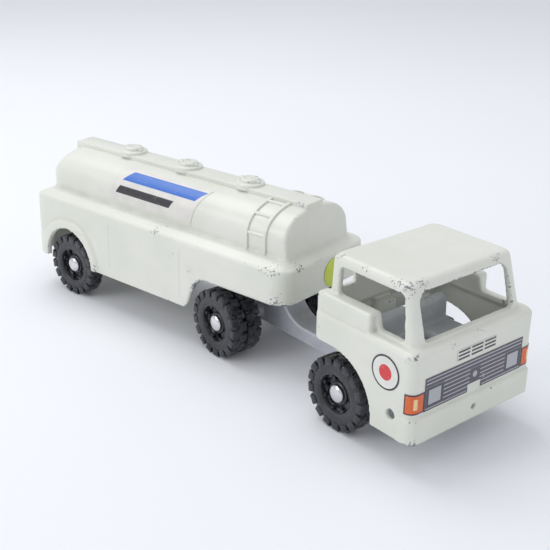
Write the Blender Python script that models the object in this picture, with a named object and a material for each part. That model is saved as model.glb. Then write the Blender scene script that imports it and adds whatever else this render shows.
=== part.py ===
# Articulated toy tanker truck: a cast tank trailer on a two-axle tractor.
# Metres, +Z up, +X forwards, +Y to the truck's left. The origin is the middle of the underside.
from math import cos, pi, radians, sin, sqrt

import bmesh
import bpy
from mathutils import Matrix, Vector

MM = 0.001
MERGE_DISTANCE = 0.004 * MM
CUTTER_REACH = 80.0 * MM
CUTTER_MARGIN = 10.0 * MM
OVERLAP = 1.0 * MM

# fits
MESH_GAP = 0.3 * MM
STICKER_GAP = 0.06 * MM
STICKER_THICKNESS = 0.12 * MM

# wheels and axles
WHEEL_RADIUS = 25.0 * MM
WHEEL_WIDTH = 12.4 * MM
WHEEL_SHOULDER = 2.0 * MM
RIM_RADIUS = 16.5 * MM
RIM_LIP = 1.2 * MM
FACE_DEPTH = 5.0 * MM
HUB_RADIUS = 7.2 * MM
HUB_SETBACK = 3.4 * MM
BACK_DEPTH = 3.5 * MM
BACK_SETBACK = 1.0 * MM
WHEEL_WINDOWS = 6
WINDOW_LENGTH = 5.5 * MM
WINDOW_WIDTH = 4.6 * MM
DUAL_GAP = 0.6 * MM
AXLE_RADIUS = 2.0 * MM
CAP_RADIUS = 6.1 * MM
CAP_HEIGHT = 2.9 * MM
CAP_RIM = 0.6 * MM
CAP_SOCKET_DEPTH = 1.8 * MM
WHEEL_SIDE_PLAY = 0.5 * MM

# trailer casting
TRAILER_LENGTH = 264.0 * MM
TRAILER_HALF_WIDTH = 47.8 * MM
TRAILER_DRAFT = 1.4 * MM
TRAILER_FRONT_CORNER = 13.0 * MM
TRAILER_REAR_CORNER = 7.0 * MM
SMALLEST_CORNER = 1.0 * MM
TRAILER_WALL = 3.4 * MM
SKIRT_TOP = 79.6 * MM
LEDGE_SLOPE_WIDTH = 7.5 * MM
LEDGE_RISE = 3.4 * MM
REAR_SKIRT_BOTTOM = 28.6 * MM
FRONT_SKIRT_BOTTOM = 54.6 * MM
SKIRT_CORNER = 7.0 * MM
DUAL_ARCH_RADIUS = 37.0 * MM
TRAILER_AXLE_X = 39.2 * MM
TRAILER_WHEEL_FACE = 47.0 * MM
REAR_ARCH_X = 41.4 * MM
REAR_ARCH_RISE = 33.0 * MM
REAR_ARCH_RADIUS = 28.2 * MM
ARCH_LIP_WIDTH = 4.5 * MM
ARCH_LIP_HEIGHT = 1.3 * MM
DUAL_ARCH_START = radians(166.25)
DUAL_ARCH_END = radians(126.5)
REAR_LUG_TOP = 86.0 * MM

# tank, walkway, manholes and ladders
TANK_HALF_WIDTH = 34.6 * MM
TANK_REAR_X = 3.5 * MM
TANK_FRONT_X = 256.0 * MM
TANK_FRONT_LEAN = 4.0 * MM
TANK_SIDE_TOP = 93.0 * MM
TANK_TOP = 113.2 * MM
TANK_ROUNDNESS = 2.35
TANK_REAR_ROUND = 17.0 * MM
TANK_FRONT_ROUND = 1.6 * MM
WALKWAY_HALF_WIDTH = 8.7 * MM
WALKWAY_TOP = 116.0 * MM
WALKWAY_REAR_X = 9.0 * MM
WALKWAY_FRONT_X = 251.5 * MM
WALKWAY_SOFTNESS = 0.7 * MM
MANHOLE_X = (69.0 * MM, 130.0 * MM, 192.0 * MM)
MANHOLE_RADIUS = 10.6 * MM
MANHOLE_BASE_TOP = 118.2 * MM
MANHOLE_CAP_RADIUS = 7.0 * MM
MANHOLE_CAP_TOP = 120.8 * MM
MANHOLE_SOFTNESS = 0.6 * MM
LADDER_RAILS_X = (219.5 * MM, 236.0 * MM)
LADDER_RAIL_WIDTH = 2.4 * MM
LADDER_HEIGHT = 1.5 * MM
LADDER_SINK = 0.8 * MM
RUNG_RADIUS = 1.1 * MM
RUNG_PLACES = (0.29, 0.57, 0.86)

# coupling between trailer and tractor
KINGPIN_X = 213.9 * MM
REST_YAW = radians(-10.5)
BOSS_RADIUS = 9.0 * MM
TURNTABLE_RADIUS = 26.0 * MM
TURNTABLE_THICKNESS = 4.0 * MM
TURNTABLE_TOP = 51.0 * MM
TURNTABLE_SOFTNESS = 0.6 * MM
KINGPIN_RADIUS = 2.5 * MM
KINGPIN_HEAD_RADIUS = 5.0 * MM
KINGPIN_HEAD_HEIGHT = 3.0 * MM
KINGPIN_DEPTH = 16.0 * MM
WASHER_THICKNESS = 1.0 * MM
WASHER_RADIUS = 6.0 * MM
WEB_THICKNESS = 3.0 * MM
WEB_BOTTOM = 57.0 * MM
LUG_Y = 30.0 * MM
LUG_THICKNESS = 4.0 * MM
LUG_HALF_LENGTH = 9.0 * MM
LUG_BELOW_AXLE = 6.0 * MM

# tractor, measured from the kingpin
DRIVE_AXLE_X = -3.8 * MM
STEER_AXLE_X = 124.1 * MM
TRACTOR_WHEEL_FACE = 51.8 * MM
CAB_REAR_X = 105.5 * MM
CAB_FRONT_X = 190.5 * MM
CAB_HALF_WIDTH = 54.2 * MM
CAB_CORNER = 5.5 * MM
CAB_WALL = 3.8 * MM
CAB_BOTTOM = 21.0 * MM
CAB_SIDE_BOTTOM = 59.5 * MM
CAB_ARCH_RADIUS = 34.0 * MM
CAB_ARCH_START = radians(78.0)
CAB_ARCH_END = radians(-6.0)
BELT_Z = 79.5 * MM
UPPER_HALF_WIDTH = 47.2 * MM
UPPER_REAR_X = 110.0 * MM
UPPER_FRONT_X = 184.5 * MM
ROOF_HALF_WIDTH = 45.8 * MM
ROOF_REAR_X = 110.8 * MM
ROOF_FRONT_X = 176.0 * MM
ROOF_TOP = 115.5 * MM
ROOF_ROUND = 4.5 * MM
ROOF_THICKNESS = 4.5 * MM
BUMPER_TOP = 38.5 * MM
BUMPER_REAR_X = 176.0 * MM
BUMPER_STEP = 1.8 * MM
SILL_BLOCK_FRONT_X = 153.0 * MM
SILL_BLOCK_TOP = 91.0 * MM
SILL_BLOCK_INSET = 1.4 * MM
SILL_BLOCK_ROUND = 1.8 * MM
SILL_BLOCK_DEPTH = 6.0 * MM
SIDE_WINDOW_X = (119.5 * MM, 174.0 * MM)
SIDE_WINDOW_SILL = 80.8 * MM
WINDOW_TOP = 109.0 * MM
WINDOW_CORNER = 3.5 * MM
WINDOW_LEAN = 3.6 * MM
WINDSCREEN_HALF_WIDTH = 38.5 * MM
REAR_WINDOW_Y = ((-38.0 * MM, -24.0 * MM), (-18.5 * MM, 18.5 * MM), (24.0 * MM, 38.0 * MM))
REAR_WINDOW_SILL = 88.0 * MM
REAR_WINDOW_TOP = 106.0 * MM
SILL_CORNER = 1.8 * MM
SIDE_HOLE_X = 174.5 * MM
SIDE_HOLE_Z = 36.0 * MM
SIDE_HOLE_RADIUS = 3.3 * MM
TOW_HOLE_Z = 29.5 * MM
TOW_HOLE_RADIUS = 2.0 * MM

# chassis, seat and screws, measured from the kingpin
BEAM_HALF_WIDTH = 9.5 * MM
BEAM_BOTTOM = 17.0 * MM
BEAM_TOP = 28.0 * MM
BEAM_FRONT_X = 185.0 * MM
BEAM_WALL = 3.0 * MM
PEDESTAL_X = (-19.0 * MM, 22.5 * MM)
HOUSING_RADIUS = 5.8 * MM
FLOOR_BOTTOM = 26.5 * MM
FLOOR_TOP = 31.0 * MM
FLOOR_HALF_WIDTH = 36.0 * MM
FLOOR_REAR_X = 108.5 * MM
CAB_BOSSES = (("rear", 114.0 * MM, 0.0, 74.0 * MM), ("right", 180.5 * MM, -22.0 * MM, 46.0 * MM),
              ("left", 180.5 * MM, 22.0 * MM, 46.0 * MM))
CAB_BOSS_RADIUS = 6.8 * MM
SCREW_RADIUS = 1.5 * MM
SCREW_HEAD_RADIUS = 3.0 * MM
SCREW_HEAD_HEIGHT = 1.8 * MM
SCREW_DEPTH = 9.0 * MM
SEAT_X = (131.0 * MM, 164.0 * MM)
SEAT_HALF_WIDTH = 34.0 * MM
SEAT_CUSHION_TOP = 62.0 * MM
SEAT_BACK_TOP = 77.0 * MM
SEAT_BACK_THICKNESS = 8.0 * MM
SEAT_ROUND = 3.0 * MM

# stickers
TANK_STICKER_X = (76.0 * MM, 167.0 * MM)
TANK_STICKER_SLANT = 11.0 * MM
TANK_STICKER_STEPS = (2, 10)
NOSE_STICKER = (6.0 * MM, 65.5 * MM, 10.5 * MM)
ROUNDEL = (169.2 * MM, 61.5 * MM, 11.0 * MM)
GRILLE_HALF_WIDTH = 43.6 * MM
GRILLE_Z = (41.0 * MM, 62.5 * MM)
GRILLE_NOTCH_HALF_WIDTH = 6.0 * MM
GRILLE_NOTCH_HEIGHT = 5.0 * MM
VENT_HALF_WIDTH = 17.5 * MM
VENT_Z = (65.0 * MM, 72.0 * MM)
LAMP_Z = (41.5 * MM, 54.5 * MM)
LAMP_REACH = 10.5 * MM

# quality of the round shapes
TANK_ARC_STEPS = 8
TANK_END_STEPS = 3
CORNER_STEPS = 3
ARCH_STEPS = 10
ROUND_SIDES = 16
SMALL_SIDES = 10
CAP_STEPS = 2
ROOF_STEPS = 2
WHEEL_SIDES = 24

PAINT = ("cream_paint", (0.76, 0.77, 0.70), 0.42, 0.0)
CAST_METAL = ("bare_casting", (0.50, 0.51, 0.54), 0.45, 0.9)
STEEL = ("bright_steel", (0.66, 0.66, 0.67), 0.32, 1.0)
CHROME = ("polished_cap", (0.82, 0.82, 0.83), 0.14, 1.0)
BLACK_RUBBER = ("black_tyre", (0.025, 0.025, 0.03), 0.6, 0.0)
GREY_PLASTIC = ("grey_seat", (0.16, 0.17, 0.18), 0.5, 0.0)
WHITE_STICKER = ("white_sticker", (0.82, 0.82, 0.78), 0.4, 0.0)
YELLOW_STICKER = ("yellow_sticker", (0.72, 0.78, 0.06), 0.4, 0.0)
DARK_STICKER = ("dark_sticker", (0.10, 0.09, 0.12), 0.4, 0.0)
LAMP_STICKER = ("orange_sticker", (0.85, 0.22, 0.05), 0.4, 0.0)


def clear_scene():
    for item in list(bpy.data.objects):
        bpy.data.objects.remove(item, do_unlink=True)


def material_for(finish):
    name, colour, roughness, metallic = finish
    material = bpy.data.materials.get(name)
    if material is None:
        material = bpy.data.materials.new(name)
        material.use_nodes = True
        shader = material.node_tree.nodes["Principled BSDF"]
        shader.inputs["Base Color"].default_value = (*colour, 1.0)
        shader.inputs["Roughness"].default_value = roughness
        shader.inputs["Metallic"].default_value = metallic
    return material


def object_from(bm, name):
    bmesh.ops.recalc_face_normals(bm, faces=bm.faces)
    mesh = bpy.data.meshes.new(name)
    bm.to_mesh(mesh)
    bm.free()
    item = bpy.data.objects.new(name, mesh)
    bpy.context.scene.collection.objects.link(item)
    return item


def loft(rings, name="form"):
    """A closed solid through rings that all have the same number of points."""
    bm = bmesh.new()
    rows = [[bm.verts.new(point) for point in ring] for ring in rings]
    count = len(rows[0])
    for lower, upper in zip(rows, rows[1:]):
        for index in range(count):
            after = (index + 1) % count
            bm.faces.new((lower[index], lower[after], upper[after], upper[index]))
    bm.faces.new(rows[0])
    bm.faces.new(rows[-1])
    return object_from(bm, name)


def rounded_path(corners, steps=CORNER_STEPS):
    """A closed outline of (a, b, radius) corners, each radius drawn as an arc."""
    points = []
    for index, (a, b, radius) in enumerate(corners):
        here = Vector((a, b))
        if radius == 0.0:
            points.append(here)
            continue
        before = (Vector(corners[index - 1][:2]) - here).normalized()
        after = (Vector(corners[(index + 1) % len(corners)][:2]) - here).normalized()
        half = before.angle(after) / 2
        centre = here + (before + after).normalized() * radius / sin(half)
        start = here + before * radius / (sin(half) / cos(half)) - centre
        turn = start.angle_signed(here + after * radius / (sin(half) / cos(half)) - centre)
        for step in range(steps + 1):
            angle = -turn * step / steps
            points.append(centre + Matrix.Rotation(angle, 2) @ start)
    return [(point.x, point.y) for point in points]


def plan_ring(rear, front, half_width, rear_radius, front_radius, z):
    outline = rounded_path(((rear, -half_width, rear_radius), (front, -half_width, front_radius),
                            (front, half_width, front_radius), (rear, half_width, rear_radius)))
    return [(x, y, z) for x, y in outline]


def side_prism(outline, y_low, y_high):
    return loft([[(x, y, z) for x, z in outline] for y in (y_low, y_high)])


def front_prism(outline, x_low, x_high):
    return loft([[(x, y, z) for y, z in outline] for x in (x_low, x_high)])


def box(x_range, y_range, z_range):
    return side_prism([(x_range[0], z_range[0]), (x_range[1], z_range[0]),
                       (x_range[1], z_range[1]), (x_range[0], z_range[1])], *y_range)


def softened_box(x_range, y_range, z_range, radius):
    item = box(x_range, y_range, z_range)
    bm = bmesh.new()
    bm.from_mesh(item.data)
    bmesh.ops.bevel(bm, geom=list(bm.edges), offset=radius, segments=3, profile=0.5, affect='EDGES')
    bm.to_mesh(item.data)
    bm.free()
    return item


def turned(profile, sides, name="turned"):
    """Revolves (radius, height) points about Z. Points on the axis close the ends."""
    bm = bmesh.new()
    rows = []
    for radius, height in profile:
        if radius == 0.0:
            rows.append([bm.verts.new((0.0, 0.0, height))])
            continue
        angles = [2 * pi * index / sides for index in range(sides)]
        rows.append([bm.verts.new((radius * cos(angle), radius * sin(angle), height)) for angle in angles])
    closed = profile[0][0] != 0.0
    pairs = list(zip(rows, rows[1:]))
    if closed:
        pairs.append((rows[-1], rows[0]))
    for lower, upper in pairs:
        for i in range(sides):
            j = (i + 1) % sides
            if len(lower) == 1:
                bm.faces.new((lower[0], upper[j], upper[i]))
            elif len(upper) == 1:
                bm.faces.new((lower[i], lower[j], upper[0]))
            else:
                bm.faces.new((lower[i], lower[j], upper[j], upper[i]))
    return object_from(bm, name)


def cylinder(radius, low, high, sides=ROUND_SIDES):
    return turned([(0.0, low), (radius, low), (radius, high), (0.0, high)], sides)


def placed(item, location=(0.0, 0.0, 0.0), axis="Z"):
    """Moves the mesh itself, after turning its Z axis onto the named axis."""
    turn = {"Z": Matrix.Identity(4), "X": Matrix.Rotation(pi / 2, 4, 'Y'),
            "Y": Matrix.Rotation(-pi / 2, 4, 'X'), "-Y": Matrix.Rotation(pi / 2, 4, 'X')}[axis]
    item.data.transform(Matrix.Translation(location) @ turn)
    return item


def combine(item, tool, operation):
    """Applies one exact Boolean and removes the tool."""
    modifier = item.modifiers.new(operation.lower(), 'BOOLEAN')
    modifier.operation = operation
    modifier.solver = 'EXACT'
    modifier.object = tool
    depsgraph = bpy.context.evaluated_depsgraph_get()
    mesh = bpy.data.meshes.new_from_object(item.evaluated_get(depsgraph))
    item.modifiers.clear()
    bm = bmesh.new()
    bm.from_mesh(mesh)
    bmesh.ops.remove_doubles(bm, verts=bm.verts, dist=MERGE_DISTANCE)
    bmesh.ops.dissolve_degenerate(bm, edges=bm.edges, dist=MERGE_DISTANCE)
    bm.to_mesh(mesh)
    bm.free()
    item.data = mesh
    bpy.data.objects.remove(tool, do_unlink=True)
    return item


def add(item, *tools):
    for tool in tools:
        combine(item, tool, 'UNION')
    return item


def cut(item, *tools):
    for tool in tools:
        combine(item, tool, 'DIFFERENCE')
    return item


def finish_node(item, name, finish, parent, smooth_angle=35.0):
    item.name = name
    item.data.name = name
    item.data.materials.clear()
    item.data.materials.append(material_for(finish))
    item.data.shade_smooth()
    item.data.set_sharp_from_angle(angle=radians(smooth_angle))
    item.parent = parent
    return item


# trailer

def skirt_rings(inset, low, top):
    """Plan rings of the skirt from its foot to its sloping shoulder, all moved in by the inset."""
    slope = LEDGE_SLOPE_WIDTH
    crest = top + LEDGE_RISE
    steps = ((-TRAILER_DRAFT, low), (0.0, top - 1.6 * MM), (0.5 * MM, top - 0.5 * MM),
             (1.6 * MM, top + 0.2 * MM), (slope, crest - 0.4 * MM), (slope + 1.0 * MM, crest))
    rings = []
    for move, z in steps:
        total = inset + move
        rear_corner = max(TRAILER_REAR_CORNER - total, SMALLEST_CORNER)
        front_corner = max(TRAILER_FRONT_CORNER - total, SMALLEST_CORNER)
        rings.append(plan_ring(total, TRAILER_LENGTH - total, TRAILER_HALF_WIDTH - total,
                               rear_corner, front_corner, z))
    return rings


def tank_section(inset, rear_inset=0.0):
    """Half of the D section as (y, z) from the right foot to the crown."""
    half = TANK_HALF_WIDTH - inset - rear_inset
    rise = TANK_TOP - TANK_SIDE_TOP - inset - rear_inset
    power = 2 / TANK_ROUNDNESS
    points = [(-half, TANK_SIDE_TOP)]
    for step in range(1, TANK_ARC_STEPS + 1):
        angle = pi / 2 * step / TANK_ARC_STEPS
        points.append((-half * cos(angle) ** power, TANK_SIDE_TOP + rise * sin(angle) ** power))
    return points


def tank_ring(x, foot, inset, end_inset, lean):
    right = [(-(TANK_HALF_WIDTH - inset - end_inset), foot)] + tank_section(inset, end_inset)
    left = [(-y, z) for y, z in reversed(right[:-1])]
    return [(x - lean * (z - SKIRT_TOP) / (TANK_TOP - SKIRT_TOP), y, z) for y, z in right + left]


def tank_form(inset, foot):
    """The D-section tank with its rounded rear end and nearly flat front."""
    rear = TANK_REAR_X + inset
    front = TANK_FRONT_X - inset
    rings = []
    for step in range(TANK_END_STEPS + 1):
        angle = pi / 2 * step / TANK_END_STEPS
        shrink = TANK_REAR_ROUND * (1 - sin(angle))
        rings.append(tank_ring(rear + TANK_REAR_ROUND * (1 - cos(angle)), foot, inset, shrink, 0.0))
    rings.append(tank_ring(front - TANK_FRONT_ROUND, foot, inset, 0.0, TANK_FRONT_LEAN))
    rings.append(tank_ring(front, foot, inset, TANK_FRONT_ROUND, TANK_FRONT_LEAN))
    return loft(rings)


def arch_outline(radius, bottom):
    points = [(REAR_ARCH_X + radius, bottom)]
    for step in range(ARCH_STEPS + 1):
        angle = pi * step / ARCH_STEPS
        points.append((REAR_ARCH_X + radius * cos(angle), REAR_ARCH_RISE + radius * sin(angle)))
    points.append((REAR_ARCH_X - radius, bottom))
    return points


def skirt_underside():
    """Everything below the skirt's lower edge, with the arch over the drive wheels."""
    axle = KINGPIN_X + DRIVE_AXLE_X
    below = -CUTTER_MARGIN
    ahead = TRAILER_LENGTH + CUTTER_MARGIN
    start_x = axle - sqrt(DUAL_ARCH_RADIUS ** 2 - (REAR_SKIRT_BOTTOM - WHEEL_RADIUS) ** 2)
    points = [(-CUTTER_MARGIN, below), (-CUTTER_MARGIN, REAR_SKIRT_BOTTOM),
              (start_x - SKIRT_CORNER / 2, REAR_SKIRT_BOTTOM),
              (start_x - SKIRT_CORNER / 5, REAR_SKIRT_BOTTOM + SKIRT_CORNER / 7)]
    for step in range(ARCH_STEPS // 2 + 1):
        angle = DUAL_ARCH_START + (DUAL_ARCH_END - DUAL_ARCH_START) * step / (ARCH_STEPS // 2)
        reach = DUAL_ARCH_RADIUS
        points.append((axle + reach * cos(angle), WHEEL_RADIUS + reach * sin(angle)))
    points.append((points[-1][0] + SKIRT_CORNER / 2, FRONT_SKIRT_BOTTOM))
    points.append((ahead, FRONT_SKIRT_BOTTOM))
    points.append((ahead, below))
    return side_prism(points, -CUTTER_REACH, CUTTER_REACH)


def ladder(side):
    """Two rails and their rungs, following the tank from the ledge to the walkway."""
    section = tank_section(0.0)
    bars = []
    low = [(-TANK_HALF_WIDTH, SKIRT_TOP + LEDGE_RISE - 0.5 * MM)]
    for x in LADDER_RAILS_X:
        inner = low + section[:-1]
        outline = []
        for index, (y, z) in enumerate(inner):
            follow = inner[min(index + 1, len(inner) - 1)]
            before = inner[max(index - 1, 0)]
            tangent = Vector((follow[0] - before[0], follow[1] - before[1])).normalized()
            outline.append((Vector((y, z)), Vector((-tangent.y, tangent.x))))
        outer = [point + normal * LADDER_HEIGHT for point, normal in outline]
        inside = [point - normal * LADDER_SINK for point, normal in reversed(outline)]
        ring = [(side * -point.x, point.y) for point in outer + inside]
        bars.append(front_prism(ring, x - LADDER_RAIL_WIDTH / 2, x + LADDER_RAIL_WIDTH / 2))
    rail = low + section
    for place in RUNG_PLACES:
        spot = place * (len(rail) - 3)
        index = int(spot)
        centre = Vector(rail[index]).lerp(Vector(rail[index + 1]), spot - index)
        bar = cylinder(RUNG_RADIUS, *LADDER_RAILS_X, SMALL_SIDES)
        bars.append(placed(bar, (0.0, side * -centre.x, centre.y), "X"))
    return bars


def make_trailer_body(parent):
    top = SKIRT_TOP
    body = loft(skirt_rings(0.0, BEAM_BOTTOM, top))
    lip_outer = arch_outline(REAR_ARCH_RADIUS + ARCH_LIP_WIDTH, BEAM_BOTTOM)
    for side in (-1, 1):
        reach = (TRAILER_HALF_WIDTH - OVERLAP, TRAILER_HALF_WIDTH + ARCH_LIP_HEIGHT)
        add(body, side_prism(lip_outer, *sorted(side * y for y in reach)))
    cut(body, loft(skirt_rings(TRAILER_WALL, BEAM_BOTTOM - 5.0 * MM, top - TRAILER_WALL)))
    add(body, tank_form(0.0, top - OVERLAP))
    cut(body, tank_form(TRAILER_WALL, top - 12.0 * MM))
    web_half = TRAILER_HALF_WIDTH - OVERLAP
    spine_half = TANK_HALF_WIDTH - OVERLAP
    for x in (KINGPIN_X, TRAILER_AXLE_X):
        span = (x - WEB_THICKNESS / 2, x + WEB_THICKNESS / 2)
        add(body, box(span, (-web_half, web_half), (WEB_BOTTOM, top)))
        add(body, box(span, (-spine_half, spine_half), (top - OVERLAP, TANK_SIDE_TOP + 2.0 * MM)))
    boss_low = TURNTABLE_TOP + MESH_GAP
    add(body, placed(cylinder(BOSS_RADIUS, boss_low, TANK_SIDE_TOP), (KINGPIN_X, 0.0, 0.0)))
    lug_span = (TRAILER_AXLE_X - LUG_HALF_LENGTH, TRAILER_AXLE_X + LUG_HALF_LENGTH)
    for y in (-LUG_Y, LUG_Y):
        add(body, box(lug_span, (y - LUG_THICKNESS / 2, y + LUG_THICKNESS / 2),
                      (WHEEL_RADIUS - LUG_BELOW_AXLE, REAR_LUG_TOP)))
    trim_trailer(body)
    add(body, softened_box((WALKWAY_REAR_X, WALKWAY_FRONT_X), (-WALKWAY_HALF_WIDTH, WALKWAY_HALF_WIDTH),
                           (TANK_TOP - 4.0 * MM, WALKWAY_TOP), WALKWAY_SOFTNESS))
    for x in MANHOLE_X:
        foot = WALKWAY_TOP - OVERLAP
        profile = [(0.0, foot), (MANHOLE_RADIUS, foot), (MANHOLE_RADIUS, MANHOLE_BASE_TOP - MANHOLE_SOFTNESS),
                   (MANHOLE_RADIUS - MANHOLE_SOFTNESS, MANHOLE_BASE_TOP),
                   (MANHOLE_CAP_RADIUS, MANHOLE_BASE_TOP),
                   (MANHOLE_CAP_RADIUS, MANHOLE_CAP_TOP - MANHOLE_SOFTNESS),
                   (MANHOLE_CAP_RADIUS - MANHOLE_SOFTNESS, MANHOLE_CAP_TOP), (0.0, MANHOLE_CAP_TOP)]
        add(body, placed(turned(profile, ROUND_SIDES), (x, 0.0, 0.0)))
    for side in (-1, 1):
        add(body, *ladder(side))
    finish_node(body, "trailer_body", PAINT, parent)


def trim_trailer(body):
    cut(body, skirt_trim())
    arch = arch_outline(REAR_ARCH_RADIUS, BEAM_BOTTOM - CUTTER_MARGIN)
    inside = TRAILER_HALF_WIDTH - 2 * TRAILER_WALL
    cut(body, side_prism(arch, inside, CUTTER_REACH), side_prism(arch, -CUTTER_REACH, -inside))
    bore = cylinder(AXLE_RADIUS + MESH_GAP, -CUTTER_REACH, CUTTER_REACH)
    cut(body, placed(bore, (TRAILER_AXLE_X, 0.0, WHEEL_RADIUS), "Y"))
    tip = TURNTABLE_TOP + KINGPIN_DEPTH + OVERLAP
    pin_hole = cylinder(KINGPIN_RADIUS + MESH_GAP, TURNTABLE_TOP - CUTTER_MARGIN, tip)
    cut(body, placed(pin_hole, (KINGPIN_X, 0.0, 0.0)))


def skirt_trim():
    """The skirt's underside cutter, kept off the bearing lugs in the middle."""
    trim = skirt_underside()
    keep = box((TRAILER_AXLE_X - 2 * LUG_HALF_LENGTH, TRAILER_AXLE_X + 2 * LUG_HALF_LENGTH),
               (-LUG_Y - LUG_THICKNESS, LUG_Y + LUG_THICKNESS), (-2 * CUTTER_MARGIN, SKIRT_TOP))
    keep_boss = placed(cylinder(BOSS_RADIUS + OVERLAP, TURNTABLE_TOP, SKIRT_TOP), (KINGPIN_X, 0.0, 0.0))
    return cut(trim, keep, keep_boss)


# coupling

def make_coupling(trailer):
    low = TURNTABLE_TOP - TURNTABLE_THICKNESS - MESH_GAP
    bore = KINGPIN_RADIUS + MESH_GAP
    washer = turned([(bore, low - WASHER_THICKNESS), (WASHER_RADIUS, low - WASHER_THICKNESS),
                     (WASHER_RADIUS, low), (bore, low)], ROUND_SIDES)
    finish_node(placed(washer, (KINGPIN_X, 0.0, 0.0)), "kingpin_washer", STEEL, trailer)
    head_top = low - WASHER_THICKNESS - MESH_GAP
    head_low = head_top - KINGPIN_HEAD_HEIGHT
    shank_top = TURNTABLE_TOP + KINGPIN_DEPTH
    head = KINGPIN_HEAD_RADIUS
    pin = turned([(0.0, head_low), (head * 0.6, head_low), (head, head_low + KINGPIN_HEAD_HEIGHT / 2),
                  (head, head_top), (KINGPIN_RADIUS, head_top), (KINGPIN_RADIUS, shank_top), (0.0, shank_top)],
                 ROUND_SIDES)
    finish_node(placed(pin, (KINGPIN_X, 0.0, 0.0)), "kingpin_screw", STEEL, trailer)


# wheels

def wheel_form():
    """A moulded wheel about Z with its outer face up at height zero."""
    low = -WHEEL_WIDTH
    shoulder = WHEEL_SHOULDER
    bore = AXLE_RADIUS + MESH_GAP
    back_hub = HUB_RADIUS + 1.0 * MM
    lip = RIM_RADIUS + RIM_LIP
    profile = [(bore, -HUB_SETBACK), (bore, low + BACK_SETBACK), (back_hub, low + BACK_SETBACK),
               (back_hub, low + BACK_DEPTH), (RIM_RADIUS, low + BACK_DEPTH), (lip, low + 0.4 * MM),
               (WHEEL_RADIUS - shoulder, low), (WHEEL_RADIUS, low + shoulder),
               (WHEEL_RADIUS, -shoulder), (WHEEL_RADIUS - shoulder, 0.0),
               (lip, -0.5 * MM), (RIM_RADIUS, -1.6 * MM), (RIM_RADIUS - 0.8 * MM, -FACE_DEPTH),
               (HUB_RADIUS + 0.6 * MM, -FACE_DEPTH), (HUB_RADIUS, -HUB_SETBACK)]
    wheel = turned(profile, WHEEL_SIDES)
    middle = (RIM_RADIUS + HUB_RADIUS) / 2
    for index in range(WHEEL_WINDOWS):
        angle = 2 * pi * (index + 0.5) / WHEEL_WINDOWS
        window = box((-WINDOW_LENGTH / 2, WINDOW_LENGTH / 2), (-WINDOW_WIDTH / 2, WINDOW_WIDTH / 2),
                     (low - 2.0 * MM, 2.0 * MM))
        window.data.transform(Matrix.Rotation(angle, 4, 'Z') @ Matrix.Translation((middle, 0.0, 0.0)))
        cut(wheel, window)
    return wheel


def make_wheel(name, master, side, x, face, parent):
    wheel = bpy.data.objects.new(name, master.data.copy())
    bpy.context.scene.collection.objects.link(wheel)
    placed(wheel, (0.0, 0.0, 0.0), "Y" if side > 0 else "-Y")
    finish_node(wheel, name, BLACK_RUBBER, parent)
    wheel.location = (x, side * face, WHEEL_RADIUS)


def make_axle(name, x, face, parent):
    half = face - HUB_SETBACK + CAP_SOCKET_DEPTH
    axle = placed(cylinder(AXLE_RADIUS, -half, half), (0.0, 0.0, 0.0), "Y")
    finish_node(axle, name, STEEL, parent)
    axle.location = (x, 0.0, WHEEL_RADIUS)
    for side, word in ((-1, "right"), (1, "left")):
        angles = [pi / 2 * step / CAP_STEPS for step in range(CAP_STEPS)]
        dome = [(CAP_RADIUS * cos(angle), CAP_RIM + (CAP_HEIGHT - CAP_RIM) * sin(angle)) for angle in angles]
        socket = AXLE_RADIUS + MESH_GAP
        socket_end = CAP_SOCKET_DEPTH + 0.1 * MM
        profile = ([(0.0, CAP_HEIGHT)] + list(reversed(dome)) + [(CAP_RADIUS, 0.0), (socket, 0.0),
                   (socket, socket_end), (0.0, socket_end)])
        cap = placed(turned(profile, ROUND_SIDES), (0.0, 0.0, 0.0), "Y" if side > 0 else "-Y")
        finish_node(cap, name + "_cap_" + word, CHROME, parent, 60.0)
        cap.location = (x, side * (face - HUB_SETBACK + MESH_GAP), WHEEL_RADIUS)


# tractor

def cab_ring(move, rear, front, half_width, corner, z):
    return plan_ring(rear + move, front - move, half_width - move, corner, corner, z)


def cab_outer():
    lower = (CAB_REAR_X, CAB_FRONT_X, CAB_HALF_WIDTH)
    roof = (ROOF_REAR_X, ROOF_FRONT_X, ROOF_HALF_WIDTH)
    upper = (UPPER_REAR_X, UPPER_FRONT_X, UPPER_HALF_WIDTH)
    rings = [cab_ring(0.0, *lower, CAB_CORNER, CAB_BOTTOM - 6.0 * MM),
             cab_ring(0.0, *lower, CAB_CORNER, BELT_Z - 4.0 * MM),
             cab_ring(0.6 * MM, *lower, CAB_CORNER, BELT_Z - 1.9 * MM),
             cab_ring(1.9 * MM, *lower, CAB_CORNER, BELT_Z - 0.6 * MM),
             cab_ring(3.6 * MM, *lower, CAB_CORNER, BELT_Z),
             cab_ring(0.0, *upper, CAB_CORNER, BELT_Z + 0.6 * MM),
             cab_ring(0.0, *roof, CAB_CORNER, ROOF_TOP - ROOF_ROUND)]
    for step in range(1, ROOF_STEPS + 1):
        angle = pi / 2 * step / ROOF_STEPS
        z = ROOF_TOP - ROOF_ROUND * (1 - sin(angle))
        rings.append(cab_ring(ROOF_ROUND * (1 - cos(angle)), *roof, CAB_CORNER, z))
    return loft(rings)


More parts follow.
